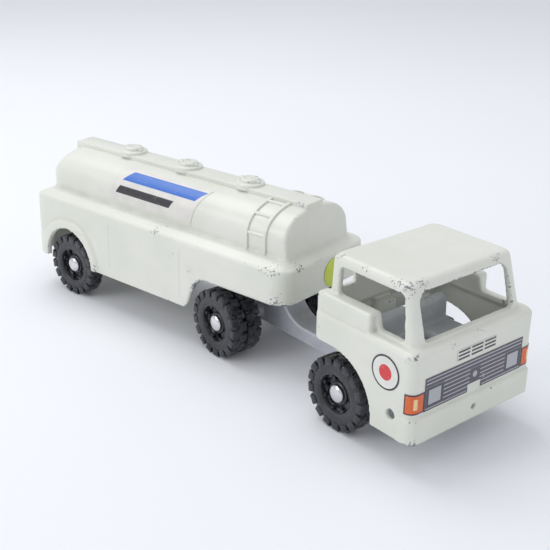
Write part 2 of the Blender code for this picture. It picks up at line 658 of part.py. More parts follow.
def cab_inner():
    wall = CAB_WALL
    corner = CAB_CORNER - wall + 1.0 * MM
    return loft([cab_ring(wall, CAB_REAR_X, CAB_FRONT_X, CAB_HALF_WIDTH, corner, CAB_BOTTOM - 12.0 * MM),
                 cab_ring(wall, CAB_REAR_X, CAB_FRONT_X, CAB_HALF_WIDTH, corner, BELT_Z - 7.0 * MM),
                 cab_ring(wall, UPPER_REAR_X, UPPER_FRONT_X, UPPER_HALF_WIDTH, corner, BELT_Z - 1.5 * MM),
                 cab_ring(wall, ROOF_REAR_X, ROOF_FRONT_X, ROOF_HALF_WIDTH, corner, ROOF_TOP - ROOF_THICKNESS)])


def cab_underside():
    """Everything below the cab's lower edge, with the arch over the steering wheels."""
    below = -CUTTER_MARGIN
    behind = CAB_REAR_X - CUTTER_MARGIN
    ahead = CAB_FRONT_X + CUTTER_MARGIN
    points = [(behind, below), (behind, CAB_SIDE_BOTTOM), (STEER_AXLE_X, CAB_SIDE_BOTTOM)]
    for step in range(ARCH_STEPS + 1):
        angle = CAB_ARCH_START + (CAB_ARCH_END - CAB_ARCH_START) * step / ARCH_STEPS
        reach = CAB_ARCH_RADIUS
        points.append((STEER_AXLE_X + reach * cos(angle), WHEEL_RADIUS + reach * sin(angle)))
    points.append((points[-1][0], CAB_BOTTOM))
    points.append((ahead, CAB_BOTTOM))
    points.append((ahead, below))
    return side_prism(points, -CUTTER_REACH, CUTTER_REACH)


def side_window_outline():
    rear, front = SIDE_WINDOW_X
    step_x = SILL_BLOCK_FRONT_X
    sill = SIDE_WINDOW_SILL
    lean = WINDOW_LEAN / 2
    return rounded_path(((rear, SILL_BLOCK_TOP, SILL_CORNER), (step_x, SILL_BLOCK_TOP, SILL_CORNER),
                         (step_x + 2.5 * MM, sill, SILL_CORNER), (front + lean, sill, SILL_CORNER),
                         (front - lean, WINDOW_TOP, WINDOW_CORNER), (rear, WINDOW_TOP, WINDOW_CORNER)))


def make_cab(parent):
    cab = cab_outer()
    half = CAB_HALF_WIDTH + BUMPER_STEP / 3
    bumper = loft([cab_ring(move, BUMPER_REAR_X, CAB_FRONT_X + BUMPER_STEP, half, CAB_CORNER, z)
                   for move, z in ((BUMPER_STEP / 2, CAB_BOTTOM), (0.0, CAB_BOTTOM + BUMPER_STEP / 2),
                                   (0.0, BUMPER_TOP - 0.7 * BUMPER_STEP), (BUMPER_STEP, BUMPER_TOP))])
    add(cab, bumper)
    for side in (-1, 1):
        reach = (CAB_HALF_WIDTH - SILL_BLOCK_INSET, UPPER_HALF_WIDTH - CAB_WALL)
        length = (CAB_REAR_X + SILL_BLOCK_INSET, SILL_BLOCK_FRONT_X)
        height = (BELT_Z - SILL_BLOCK_DEPTH, SILL_BLOCK_TOP)
        add(cab, softened_box(length, sorted(side * y for y in reach), height, SILL_BLOCK_ROUND))
    cut(cab, cab_inner(), cab_underside())
    cut(cab, side_prism(side_window_outline(), -CUTTER_REACH, CUTTER_REACH))
    wide = WINDSCREEN_HALF_WIDTH
    sill = SIDE_WINDOW_SILL
    screen = rounded_path(((-wide, sill, SILL_CORNER), (wide, sill, SILL_CORNER),
                           (wide, WINDOW_TOP, 2 * WINDOW_CORNER), (-wide, WINDOW_TOP, 2 * WINDOW_CORNER)))
    cut(cab, front_prism(screen, SEAT_X[1], CAB_FRONT_X + CUTTER_MARGIN))
    for low, high in REAR_WINDOW_Y:
        corners = ((low, REAR_WINDOW_SILL), (high, REAR_WINDOW_SILL),
                   (high, REAR_WINDOW_TOP), (low, REAR_WINDOW_TOP))
        pane = rounded_path([(y, z, SILL_CORNER) for y, z in corners])
        cut(cab, front_prism(pane, CAB_REAR_X - CUTTER_MARGIN, UPPER_REAR_X + 2 * CAB_WALL))
    for name, x, y, top in CAB_BOSSES:
        boss = cylinder(CAB_BOSS_RADIUS, FLOOR_TOP + MESH_GAP, top)
        add(cab, placed(boss, (x, y, 0.0)))
        tip = FLOOR_TOP + SCREW_DEPTH + OVERLAP
        hole = cylinder(SCREW_RADIUS + MESH_GAP, FLOOR_TOP - OVERLAP, tip, SMALL_SIDES)
        cut(cab, placed(hole, (x, y, 0.0)))
    for side in (-1, 1):
        reach = sorted((side * (CAB_HALF_WIDTH - 2 * CAB_WALL), side * CUTTER_REACH))
        cut(cab, placed(cylinder(SIDE_HOLE_RADIUS, *reach), (SIDE_HOLE_X, 0.0, SIDE_HOLE_Z), "Y"))
    tow = cylinder(TOW_HOLE_RADIUS, CAB_FRONT_X - 2 * CAB_WALL, CAB_FRONT_X + CUTTER_MARGIN)
    cut(cab, placed(tow, (0.0, 0.0, TOW_HOLE_Z), "X"))
    finish_node(cab, "cab", PAINT, parent)


def make_chassis(parent):
    half = BEAM_HALF_WIDTH
    inner = half - BEAM_WALL
    table_low = TURNTABLE_TOP - TURNTABLE_THICKNESS
    pillar_top = TURNTABLE_TOP - TURNTABLE_THICKNESS / 2
    rear, front = PEDESTAL_X
    edge = TURNTABLE_RADIUS - TURNTABLE_SOFTNESS
    chassis = box((front - OVERLAP, BEAM_FRONT_X), (-half, half), (BEAM_BOTTOM, BEAM_TOP))
    add(chassis, box(PEDESTAL_X, (-half, half), (BEAM_BOTTOM, pillar_top)))
    add(chassis, turned([(0.0, table_low), (edge, table_low),
                         (TURNTABLE_RADIUS, table_low + TURNTABLE_SOFTNESS),
                         (TURNTABLE_RADIUS, TURNTABLE_TOP - TURNTABLE_SOFTNESS), (edge, TURNTABLE_TOP),
                         (0.0, TURNTABLE_TOP)], 2 * ROUND_SIDES))
    floor_half = FLOOR_HALF_WIDTH
    add(chassis, box((FLOOR_REAR_X, BEAM_FRONT_X), (-floor_half, floor_half), (FLOOR_BOTTOM, FLOOR_TOP)))
    cut(chassis, box((front, BEAM_FRONT_X - BEAM_WALL), (-inner, inner), (0.0, BEAM_TOP - BEAM_WALL)))
    cut(chassis, box((rear + BEAM_WALL, front + OVERLAP), (-inner, inner), (0.0, table_low)))
    add(chassis, box((front - BEAM_WALL, front), (-half, half), (BEAM_TOP - BEAM_WALL, pillar_top)))
    for x, face in ((DRIVE_AXLE_X, inner_wheel_face()), (STEER_AXLE_X, TRACTOR_WHEEL_FACE)):
        reach = face - WHEEL_WIDTH + BACK_SETBACK - WHEEL_SIDE_PLAY
        add(chassis, placed(cylinder(HOUSING_RADIUS, -reach, reach), (x, 0.0, WHEEL_RADIUS), "Y"))
        bore = cylinder(AXLE_RADIUS + MESH_GAP, -CUTTER_REACH, CUTTER_REACH)
        cut(chassis, placed(bore, (x, 0.0, WHEEL_RADIUS), "Y"))
    cut(chassis, cylinder(KINGPIN_RADIUS + MESH_GAP, table_low - OVERLAP, TURNTABLE_TOP + OVERLAP))
    for name, x, y, top in CAB_BOSSES:
        hole = cylinder(SCREW_RADIUS + MESH_GAP, 0.0, FLOOR_TOP + OVERLAP, SMALL_SIDES)
        cut(chassis, placed(hole, (x, y, 0.0)))
    finish_node(chassis, "chassis", CAST_METAL, parent)


def inner_wheel_face():
    return TRACTOR_WHEEL_FACE - WHEEL_WIDTH - DUAL_GAP


def make_seat(parent):
    low = FLOOR_TOP + MESH_GAP
    rear, front = SEAT_X
    seat = softened_box((rear, front), (-SEAT_HALF_WIDTH, SEAT_HALF_WIDTH), (low, SEAT_CUSHION_TOP), SEAT_ROUND)
    back = (rear, rear + SEAT_BACK_THICKNESS)
    width = (-SEAT_HALF_WIDTH, SEAT_HALF_WIDTH)
    add(seat, softened_box(back, width, (low + OVERLAP, SEAT_BACK_TOP), SEAT_ROUND))
    finish_node(seat, "seat", GREY_PLASTIC, parent)


def make_screws(parent):
    for name, x, y, top in CAB_BOSSES:
        seat_z = screw_seat(y) - MESH_GAP
        head_low = seat_z - SCREW_HEAD_HEIGHT
        tip = FLOOR_TOP + SCREW_DEPTH
        head = SCREW_HEAD_RADIUS
        screw = turned([(0.0, head_low), (head * 0.7, head_low), (head, head_low + SCREW_HEAD_HEIGHT / 2),
                        (head, seat_z), (SCREW_RADIUS, seat_z), (SCREW_RADIUS, tip), (0.0, tip)], SMALL_SIDES)
        finish_node(placed(screw, (x, y, 0.0)), "cab_screw_" + name, STEEL, parent)


def screw_seat(y):
    """Underside of the metal that a screw's head bears on."""
    return BEAM_TOP - BEAM_WALL if abs(y) < BEAM_HALF_WIDTH else FLOOR_BOTTOM


# stickers

def make_tank_sticker(name, side, parent):
    first, last = TANK_STICKER_STEPS
    section = [(-TANK_HALF_WIDTH, SKIRT_TOP + LEDGE_RISE + 2.0 * MM)] + tank_section(0.0)
    stretch = section[:last - first]
    walls = []
    for index, (y, z) in enumerate(stretch):
        start = section[max(index - 1, 0)]
        end = section[index + 1]
        tangent = Vector((end[0] - start[0], end[1] - start[1])).normalized()
        walls.append((Vector((y, z)), Vector((-tangent.y, tangent.x))))
    total = len(walls) - 1
    rings = []
    for index, (point, normal) in enumerate(walls):
        lean = TANK_STICKER_SLANT * index / total
        rear, front = (x + lean for x in TANK_STICKER_X)
        low = point + normal * 2 * STICKER_GAP
        high = low + normal * STICKER_THICKNESS
        rings.append([(x, side * -spot.x, spot.y)
                      for x, spot in ((rear, low), (front, low), (front, high), (rear, high))])
    finish_node(loft(rings), name, WHITE_STICKER, parent)


def make_front_sticker(name, outline, parent, finish):
    """A thin sticker on the cab's front face, drawn as a (y, z) outline."""
    x = CAB_FRONT_X + STICKER_GAP
    finish_node(front_prism(outline, x, x + STICKER_THICKNESS), name, finish, parent)


def make_lamp_sticker(name, side, parent):
    """A corner sticker that wraps from the side round onto the front face."""
    inner = CAB_CORNER + STICKER_GAP
    outer = inner + STICKER_THICKNESS
    centre = (CAB_FRONT_X - CAB_CORNER, side * (CAB_HALF_WIDTH - CAB_CORNER))
    spread = []
    for radius in (inner, outer):
        points = [(centre[0], centre[1] + side * radius)]
        for step in range(1, CORNER_STEPS):
            angle = pi / 2 * step / CORNER_STEPS
            points.append((centre[0] + radius * sin(angle), centre[1] + side * radius * cos(angle)))
        points.append((centre[0] + radius, centre[1]))
        points.append((centre[0] + radius, side * (CAB_HALF_WIDTH - LAMP_REACH)))
        spread.append(points)
    outline = spread[0] + list(reversed(spread[1]))
    finish_node(loft([[(x, y, z) for x, y in outline] for z in LAMP_Z]), name, LAMP_STICKER, parent)


def make_stickers(trailer, tractor):
    make_tank_sticker("tank_sticker_right", -1, trailer)
    make_tank_sticker("tank_sticker_left", 1, trailer)
    y, z, radius = NOSE_STICKER
    lean = TRAILER_DRAFT * (SKIRT_TOP - z + radius) / (SKIRT_TOP - BEAM_BOTTOM)
    face = TRAILER_LENGTH + lean + STICKER_GAP
    disc = cylinder(radius, face, face + STICKER_THICKNESS)
    finish_node(placed(disc, (0.0, y, z), "X"), "nose_sticker", YELLOW_STICKER, trailer)
    x, z, radius = ROUNDEL
    for side, word in ((-1, "right"), (1, "left")):
        low = CAB_HALF_WIDTH + STICKER_GAP
        disc = placed(cylinder(radius, low, low + STICKER_THICKNESS), (x, 0.0, z), "Y")
        if side < 0:
            disc.data.transform(Matrix.Scale(-1.0, 4, (0.0, 1.0, 0.0)))
            disc.data.flip_normals()
        finish_node(disc, "door_sticker_" + word, WHITE_STICKER, tractor)
        make_lamp_sticker("lamp_sticker_" + word, side, tractor)
    half = GRILLE_HALF_WIDTH
    notch = GRILLE_NOTCH_HALF_WIDTH
    low, high = GRILLE_Z
    notch_top = low + GRILLE_NOTCH_HEIGHT
    grille = [(-half, low), (-notch, low), (-notch, notch_top), (notch, notch_top), (notch, low),
              (half, low), (half, high), (-half, high)]
    make_front_sticker("grille_sticker", grille, tractor, DARK_STICKER)
    low, high = VENT_Z
    vent = [(-VENT_HALF_WIDTH, low), (VENT_HALF_WIDTH, low), (VENT_HALF_WIDTH, high), (-VENT_HALF_WIDTH, high)]
    make_front_sticker("vent_sticker", vent, tractor, WHITE_STICKER)


def centre_on_origin(root):
    """Moves the whole truck so that the middle of its underside is the origin."""
    bpy.context.view_layer.update()
    points = [item.matrix_world @ vertex.co for item in bpy.data.objects if item.type == 'MESH'
              for vertex in item.data.vertices]
    for axis in range(2):
        values = [point[axis] for point in points]
        root.location[axis] = -(min(values) + max(values)) / 2


def build():
    clear_scene()
    root = bpy.data.objects.new("trailer_frame", None)
    tractor = bpy.data.objects.new("tractor_frame", None)
    for empty in (root, tractor):
        bpy.context.scene.collection.objects.link(empty)
    tractor.parent = root
    tractor.location = (KINGPIN_X, 0.0, 0.0)
    tractor.rotation_euler = (0.0, 0.0, REST_YAW)
    make_trailer_body(root)
    make_coupling(root)
    make_axle("trailer_axle", TRAILER_AXLE_X, TRAILER_WHEEL_FACE, root)
    make_cab(tractor)
    make_chassis(tractor)
    make_seat(tractor)
    make_screws(tractor)
    make_axle("front_axle", STEER_AXLE_X, TRACTOR_WHEEL_FACE, tractor)
    make_axle("drive_axle", DRIVE_AXLE_X, TRACTOR_WHEEL_FACE, tractor)
    master = wheel_form()
    for side, word in ((-1, "right"), (1, "left")):
        make_wheel("trailer_wheel_" + word, master, side, TRAILER_AXLE_X, TRAILER_WHEEL_FACE, root)
        make_wheel("front_wheel_" + word, master, side, STEER_AXLE_X, TRACTOR_WHEEL_FACE, tractor)
        make_wheel("drive_wheel_outer_" + word, master, side, DRIVE_AXLE_X, TRACTOR_WHEEL_FACE, tractor)
        make_wheel("drive_wheel_inner_" + word, master, side, DRIVE_AXLE_X, inner_wheel_face(), tractor)
    bpy.data.objects.remove(master, do_unlink=True)
    make_stickers(root, tractor)
    centre_on_origin(root)


build()
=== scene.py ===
from math import atan2, cos, pi, radians, sin, sqrt

import bmesh
import bpy
import numpy as np
from mathutils import Matrix, Vector


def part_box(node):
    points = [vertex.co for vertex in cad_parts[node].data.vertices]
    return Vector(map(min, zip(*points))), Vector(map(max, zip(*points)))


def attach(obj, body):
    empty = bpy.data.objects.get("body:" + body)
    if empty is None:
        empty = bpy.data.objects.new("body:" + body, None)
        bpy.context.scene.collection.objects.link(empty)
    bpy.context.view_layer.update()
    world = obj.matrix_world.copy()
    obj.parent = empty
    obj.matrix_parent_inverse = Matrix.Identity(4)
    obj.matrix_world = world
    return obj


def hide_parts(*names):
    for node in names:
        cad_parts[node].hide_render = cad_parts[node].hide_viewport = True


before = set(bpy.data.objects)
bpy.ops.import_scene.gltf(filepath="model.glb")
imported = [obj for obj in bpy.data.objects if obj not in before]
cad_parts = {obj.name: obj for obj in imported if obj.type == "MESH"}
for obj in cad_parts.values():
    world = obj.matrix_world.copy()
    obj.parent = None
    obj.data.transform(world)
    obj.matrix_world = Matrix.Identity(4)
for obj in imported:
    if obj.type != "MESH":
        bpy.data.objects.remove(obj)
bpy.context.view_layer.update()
mm = 0.001

# where the wheels and bores sit, in millimetres from each half's own origin
layout = {
    "trailerX": 39.2, "driveX": -3.8, "frontX": 124.1, "axleZ": 25.0, "trailerFace": 47.0, "outerFace": 51.8,
    "innerFace": 38.8, "axleBore": 2.3, "pinBore": 2.8, "screwBore": 1.8,
}


# places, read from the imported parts

def middleOf(node):
    low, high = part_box(node)
    return (low + high) / 2


kingpin = middleOf("kingpin_screw")
frontAxle = middleOf("front_axle")
trailerAxle = middleOf("trailer_axle")
swing = atan2(frontAxle.y - kingpin.y, frontAxle.x - kingpin.x)
sizeToMetres = Matrix.Scale(mm, 4)
trailerPlace = Matrix.Translation((trailerAxle.x - layout["trailerX"] * mm, trailerAxle.y, 0.0)) @ sizeToMetres
tractorPlace = Matrix.Translation((kingpin.x, kingpin.y, 0.0)) @ Matrix.Rotation(swing, 4, "Z") @ sizeToMetres
onTrailer = (trailerPlace, "trailer")
onTractor = (tractorPlace, "tractor")


# small shop tools; every shape is drawn in millimetres and placed at the end

def linked(name, data):
    piece = bpy.data.objects.new(name, data)
    bpy.context.scene.collection.objects.link(piece)
    return piece


def meshFrom(bm, name="form"):
    mesh = bpy.data.meshes.new(name)
    bm.to_mesh(mesh)
    bm.free()
    return linked(name, mesh)


def objectFrom(bm, name="form"):
    bmesh.ops.recalc_face_normals(bm, faces=bm.faces)
    return meshFrom(bm, name)


def loft(rings):
    bm = bmesh.new()
    rows = [[bm.verts.new(point) for point in ring] for ring in rings]
    count = len(rows[0])
    for lower, upper in zip(rows, rows[1:]):
        for i in range(count):
            j = (i + 1) % count
            bm.faces.new((lower[i], lower[j], upper[j], upper[i]))
    bm.faces.new(rows[0])
    bm.faces.new(rows[-1])
    return objectFrom(bm)


def roundedPath(corners, steps=8):
    points = []
    for index, (a, b, radius) in enumerate(corners):
        here = Vector((a, b))
        if not radius:
            points.append(here)
            continue
        before = (Vector(corners[index - 1][:2]) - here).normalized()
        after = (Vector(corners[(index + 1) % len(corners)][:2]) - here).normalized()
        half = before.angle(after) / 2
        reach = radius * cos(half) / sin(half)
        centre = here + (before + after).normalized() * radius / sin(half)
        start = here + before * reach - centre
        turn = start.angle_signed(here + after * reach - centre)
        points += [centre + Matrix.Rotation(-turn * step / steps, 2) @ start for step in range(steps + 1)]
    return [(point.x, point.y) for point in points]


def planRing(rear, front, half, rearRound, frontRound, z):
    outline = roundedPath(((rear, -half, rearRound), (front, -half, frontRound), (front, half, frontRound),
                           (rear, half, rearRound)))
    return [(x, y, z) for x, y in outline]


def sidePrism(outline, yLow, yHigh):
    return loft([[(x, y, z) for x, z in outline] for y in (yLow, yHigh)])


def frontPrism(outline, xLow, xHigh):
    return loft([[(x, y, z) for y, z in outline] for x in (xLow, xHigh)])


def block(xs, ys, zs, soft=0.0, segments=4):
    piece = sidePrism([(xs[0], zs[0]), (xs[1], zs[0]), (xs[1], zs[1]), (xs[0], zs[1])], *sorted(ys))
    if soft:
        bm = bmesh.new()
        bm.from_mesh(piece.data)
        bmesh.ops.bevel(bm, geom=list(bm.edges), offset=soft, segments=segments, profile=0.5, affect="EDGES")
        bm.to_mesh(piece.data)
        bm.free()
    return piece


def turnedForm(profile, sides=64):
    bm = bmesh.new()
    rows = []
    for radius, height in profile:
        angles = [2 * pi * i / sides for i in range(sides)] if radius else [0.0]
        rows.append([bm.verts.new((radius * cos(angle), radius * sin(angle), height)) for angle in angles])
    pairs = list(zip(rows, rows[1:]))
    if profile[0][0]:
        pairs.append((rows[-1], rows[0]))
    for lower, upper in pairs:
        for i in range(sides):
            j = (i + 1) % sides
            corners = [lower[i % len(lower)], lower[j % len(lower)], upper[j % len(upper)], upper[i % len(upper)]]
            bm.faces.new(list(dict.fromkeys(corners)))
    return objectFrom(bm)


def rod(radius, low, high, sides=40):
    return turnedForm([(0.0, low), (radius, low), (radius, high), (0.0, high)], sides)


def moved(piece, spot=(0.0, 0.0, 0.0), axis="Z"):
    turns = {"Z": Matrix.Identity(4), "X": Matrix.Rotation(pi / 2, 4, "Y"),
             "Y": Matrix.Rotation(-pi / 2, 4, "X"), "-Y": Matrix.Rotation(pi / 2, 4, "X")}
    piece.data.transform(Matrix.Translation(spot) @ turns[axis])
    return piece


def bake(piece):
    bpy.context.view_layer.update()
    view = bpy.context.evaluated_depsgraph_get()
    mesh = bpy.data.meshes.new_from_object(piece.evaluated_get(view))
    piece.modifiers.clear()
    piece.data = mesh
    return piece


def combine(piece, tool, operation):
    modifier = piece.modifiers.new("join", "BOOLEAN")
    modifier.operation = operation
    modifier.solver = "EXACT"
    modifier.object = tool
    bake(piece)
    bpy.data.objects.remove(tool, do_unlink=True)
    return piece


def add(piece, *tools):
    for tool in tools:
        combine(piece, tool, "UNION")
    return piece


def cut(piece, *tools):
    for tool in tools:
        combine(piece, tool, "DIFFERENCE")
    return piece


def castSkin(piece, voxel, softening):  # one even skin with the soft edges of a casting
    remesh = piece.modifiers.new("skin", "REMESH")
    remesh.mode = "VOXEL"
    remesh.voxel_size = voxel
    smooth = piece.modifiers.new("soft", "SMOOTH")
    smooth.factor = 0.5
    smooth.iterations = softening
    return bake(piece)


def markEdges(piece, spread=2, gain=4.0):  # how far each point stands out or lies in a corner
    mesh = piece.data
    count = len(mesh.vertices)
    spots = np.empty(count * 3)
    normals = np.empty(count * 3)
    ends = np.empty(len(mesh.edges) * 2, int)
    mesh.vertices.foreach_get("co", spots)
    mesh.vertices.foreach_get("normal", normals)
    mesh.edges.foreach_get("vertices", ends)
    spots = spots.reshape(-1, 3)
    normals = normals.reshape(-1, 3)
    a, b = ends.reshape(-1, 2).T
    span = spots[a] - spots[b]
    length = np.linalg.norm(span, axis=1) + 1e-9
    overA = np.einsum("ij,ij->i", normals[a], span) / length
    overB = -np.einsum("ij,ij->i", normals[b], span) / length
    degree = np.maximum(np.bincount(a, minlength=count) + np.bincount(b, minlength=count), 1)
    bend = (np.bincount(a, overA, count) + np.bincount(b, overB, count)) / degree
    for _ in range(spread):
        around = (np.bincount(a, bend[b], count) + np.bincount(b, bend[a], count)) / degree
        bend = (bend + around) / 2
    for name, values in (("edge", np.clip(bend * gain, 0, 1)), ("hollow", np.clip(-bend * gain, 0, 1))):
        attribute = mesh.attributes.new(name, "FLOAT", "POINT")
        attribute.data.foreach_set("value", values.astype(np.float32))
    return piece


def finishPiece(piece, name, material, place, body, slot, nodes, smooth=40.0):
    piece.name = name
    piece.data.name = name
    piece.data.transform(place)
    piece.data.materials.clear()
    piece.data.materials.append(material)
    piece.data.shade_smooth()
    piece.data.set_sharp_from_angle(angle=radians(smooth))
    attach(piece, body)
    if nodes:
        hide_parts(*nodes)
    return piece


# node helpers

def put(tree, kind, values=None, **settings):
    node = tree.nodes.new(kind)
    for key, value in settings.items():
        setattr(node, key, value)
    for key, value in (values or {}).items():
        feed(tree, node.inputs[key], value)
    return node


def feed(tree, socket, value):
    if isinstance(value, bpy.types.NodeSocket):
        tree.links.new(value, socket)
    else:
        socket.default_value = value


def sums(tree, operation, *values):
    node = tree.nodes.new("ShaderNodeMath")
    node.operation = operation
    for socket, value in zip(node.inputs, values):
        feed(tree, socket, value)
    return node.outputs[0]


def mathNode(operation):
    return lambda tree, *values: sums(tree, operation, *values)


times, plus, minus, larger = (mathNode(word) for word in ("MULTIPLY", "ADD", "SUBTRACT", "MAXIMUM"))


def fade(tree, value, low, high, start=0.0, end=1.0):
    node = put(tree, "ShaderNodeMapRange", {"Value": value, "From Min": low, "From Max": high, "To Min": start,
                                            "To Max": end})
    node.interpolation_type = "SMOOTHSTEP"
    return node.outputs["Result"]


def blendColours(tree, share, first, second):
    node = put(tree, "ShaderNodeMix", data_type="RGBA")
    feed(tree, node.inputs[0], share)
    for index, colour in ((6, first), (7, second)):
        feed(tree, node.inputs[index], colour if isinstance(colour, bpy.types.NodeSocket) else (*colour, 1.0))
    return node.outputs[2]


def cloud(tree, where, scale, detail=3.0, rough=0.55):
    return put(tree, "ShaderNodeTexNoise", {"Vector": where, "Scale": scale, "Detail": detail,
                                            "Roughness": rough}).outputs["Fac"]


def addBump(tree, shader, height, strength, distance):
    bump = put(tree, "ShaderNodeBump", {"Height": height, "Strength": strength, "Distance": distance})
    feed(tree, shader.inputs["Normal"], bump.outputs["Normal"])


def readMark(tree, name):
    return put(tree, "ShaderNodeAttribute", attribute_name=name).outputs["Fac"]


def objectSpot(tree):
    return put(tree, "ShaderNodeTexCoord").outputs["Object"]


def newMaterial(name, **values):
    material = bpy.data.materials.new(name)
    material.use_nodes = True
    tree = material.node_tree
    shader = tree.nodes["Principled BSDF"]
    for key, value in values.items():
        feed(tree, shader.inputs[key.replace("_", " ")], value)
    return material, tree, shader


def newGroup(name, inputs, outputs):
    group = bpy.data.node_groups.new(name, "ShaderNodeTree")
    for label, start in inputs:
        socket = group.interface.new_socket(name=label, in_out="INPUT", socket_type="NodeSocketFloat")
        socket.default_value = start
    for label in outputs:
        group.interface.new_socket(name=label, in_out="OUTPUT", socket_type="NodeSocketFloat")
    return group, group.nodes.new("NodeGroupInput"), group.nodes.new("NodeGroupOutput")


def placeGroup(tree, group, **values):
    node = tree.nodes.new("ShaderNodeGroup")
    node.node_tree = group
    for key, value in values.items():
        feed(tree, node.inputs[key.replace("_", " ")], value)
    return node


# shared effects

def makeChipGroup():
    group, start, end = newGroup("enamelChips", [("Edge", 0.0), ("Knock", 0.0), ("Grain", 260.0), ("Reach", 0.3)],
                                 ["Mask", "Scrape"])
    where = objectSpot(group)
    flakes = cloud(group, where, start.outputs["Grain"], 7.0, 0.7)
    patches = cloud(group, where, 32.0, 2.0)
    edgeBlend = times(group, start.outputs["Edge"], fade(group, patches, 0.42, 0.62, 0.35, 1.0))
    edgeBlend = times(group, edgeBlend, start.outputs["Reach"])
    drive = plus(group, flakes, edgeBlend)
    drive = plus(group, drive, times(group, start.outputs["Knock"], 0.135))
    drawn = put(group, "ShaderNodeMapping", {"Vector": where, "Rotation": (0.5, 0.7, 0.3),
                                             "Scale": (70.0, 900.0, 620.0)}).outputs["Vector"]
    scratches = fade(group, cloud(group, drawn, 1.0, 2.0), 0.60, 0.68)
    scratches = times(group, scratches, fade(group, start.outputs["Knock"], 0.1, 0.9))
    stray = times(group, fade(group, cloud(group, where, 70.0, 2.0), 0.62, 0.74), 0.1)
    drive = plus(group, drive, stray)
    group.links.new(fade(group, drive, 0.72, 0.745), end.inputs["Mask"])
    scrape = larger(group, fade(group, drive, 0.67, 0.73), times(group, scratches, 0.7))
    group.links.new(scrape, end.inputs["Scrape"])
    return group


def makeGrainGroup():
    group, start, end = newGroup("surfaceGrain", [("Fine", 600.0), ("Broad", 16.0)], ["Tone", "Height"])
    where = objectSpot(group)
    broad = cloud(group, where, start.outputs["Broad"], 4.0)
    fine = cloud(group, where, start.outputs["Fine"], 2.0)
    group.links.new(fade(group, broad, 0.3, 0.7), end.inputs["Tone"])
    group.links.new(plus(group, times(group, fine, 0.35), times(group, broad, 0.65)), end.inputs["Height"])
    return group


def makeDustGroup():
    group, start, end = newGroup("restingDust", [("Amount", 0.5), ("Grain", 300.0)], ["Mask"])
    where = objectSpot(group)
    up = put(group, "ShaderNodeSeparateXYZ", {"Vector": put(group,
                                                            "ShaderNodeNewGeometry").outputs["Normal"]}).outputs["Z"]
    lying = fade(group, up, -0.2, 1.0, 0.25, 1.0)
    specks = fade(group, cloud(group, where, start.outputs["Grain"], 5.0, 0.7), 0.45, 0.75)
    drift = fade(group, cloud(group, where, 45.0, 3.0), 0.35, 0.7)
    total = times(group, times(group, lying, plus(group, specks, drift)), start.outputs["Amount"])
    group.links.new(total, end.inputs["Mask"])
    return group


chipGroup = makeChipGroup()
grainGroup = makeGrainGroup()
dustGroup = makeDustGroup()

paint = {
    "cream": (0.73, 0.737, 0.675),
    "aged": (0.665, 0.68, 0.60),
    "grime": (0.36, 0.36, 0.31),
    "metal": (0.22, 0.22, 0.24),
    "primer": (0.50, 0.50, 0.51),
    "grain": 560.0,
    "edgeReach": 0.33,
    "scrapeShare": 0.45,
    "lineShade": 0.22,
    "lineDepth": 0.9,
    "chipDepth": 0.8,
}


def knockField(tree, where, knocks):  # soft balls of wear around the spots that took the knocks
    field = None
    for spot, radius in knocks:
        gap = put(tree, "ShaderNodeVectorMath", {0: where, 1: spot}, operation="DISTANCE").outputs["Value"]
        ball = fade(tree, gap, radius, radius * 0.15)
        field = ball if field is None else larger(tree, field, ball)
    return field


def makePaint(name, knocks, doorLines=None):
    material, tree, shader = newMaterial(name, Roughness=0.36, Coat_Weight=0.25, Coat_Roughness=0.22)
    where = objectSpot(tree)
    grain = placeGroup(tree, grainGroup, Fine=520.0, Broad=15.0)
    chips = placeGroup(tree, chipGroup, Edge=readMark(tree, "edge"), Knock=knockField(tree, where, knocks),
                       Grain=paint["grain"], Reach=paint["edgeReach"])
    colour = blendColours(tree, grain.outputs["Tone"], paint["cream"], paint["aged"])
    soil = times(tree, readMark(tree, "hollow"), fade(tree, cloud(tree, where, 60.0, 4.0), 0.3, 0.7, 0.3, 0.8))
    colour = blendColours(tree, soil, colour, paint["grime"])
    height = times(tree, grain.outputs["Height"], 0.25)
    if doorLines:
        axes = put(tree, "ShaderNodeSeparateXYZ", {"Vector": where})
        line = None
        for x in doorLines["xs"]:
            gap = sums(tree, "ABSOLUTE", minus(tree, axes.outputs["X"], x))
            stroke = fade(tree, gap, doorLines["width"], doorLines["width"] * 0.2)
            line = stroke if line is None else larger(tree, line, stroke)
        inside = times(tree, fade(tree, axes.outputs["Z"], doorLines["low"], doorLines["low"] + 0.002),
                      fade(tree, axes.outputs["Z"], doorLines["high"], doorLines["high"] - 0.002))
        line = times(tree, line, inside)
        colour = blendColours(tree, times(tree, line, paint["lineShade"]), colour, paint["grime"])
        height = minus(tree, height, times(tree, line, paint["lineDepth"]))
    colour = blendColours(tree, times(tree, chips.outputs["Scrape"], paint["scrapeShare"]), colour, paint["primer"])
    colour = blendColours(tree, chips.outputs["Mask"], colour, paint["metal"])
    feed(tree, shader.inputs["Base Color"], colour)
    feed(tree, shader.inputs["Metallic"], times(tree, chips.outputs["Mask"], 0.55))
    feed(tree, shader.inputs["Roughness"], fade(tree, chips.outputs["Scrape"], 0.0, 1.0, 0.36, 0.6))
    feed(tree, shader.inputs["Coat Weight"], fade(tree, chips.outputs["Scrape"], 0.0, 1.0, 0.25, 0.0))
    height = minus(tree, height, times(tree, chips.outputs["Mask"], paint["chipDepth"]))
    addBump(tree, shader, height, 0.5, 0.00022)
    return material


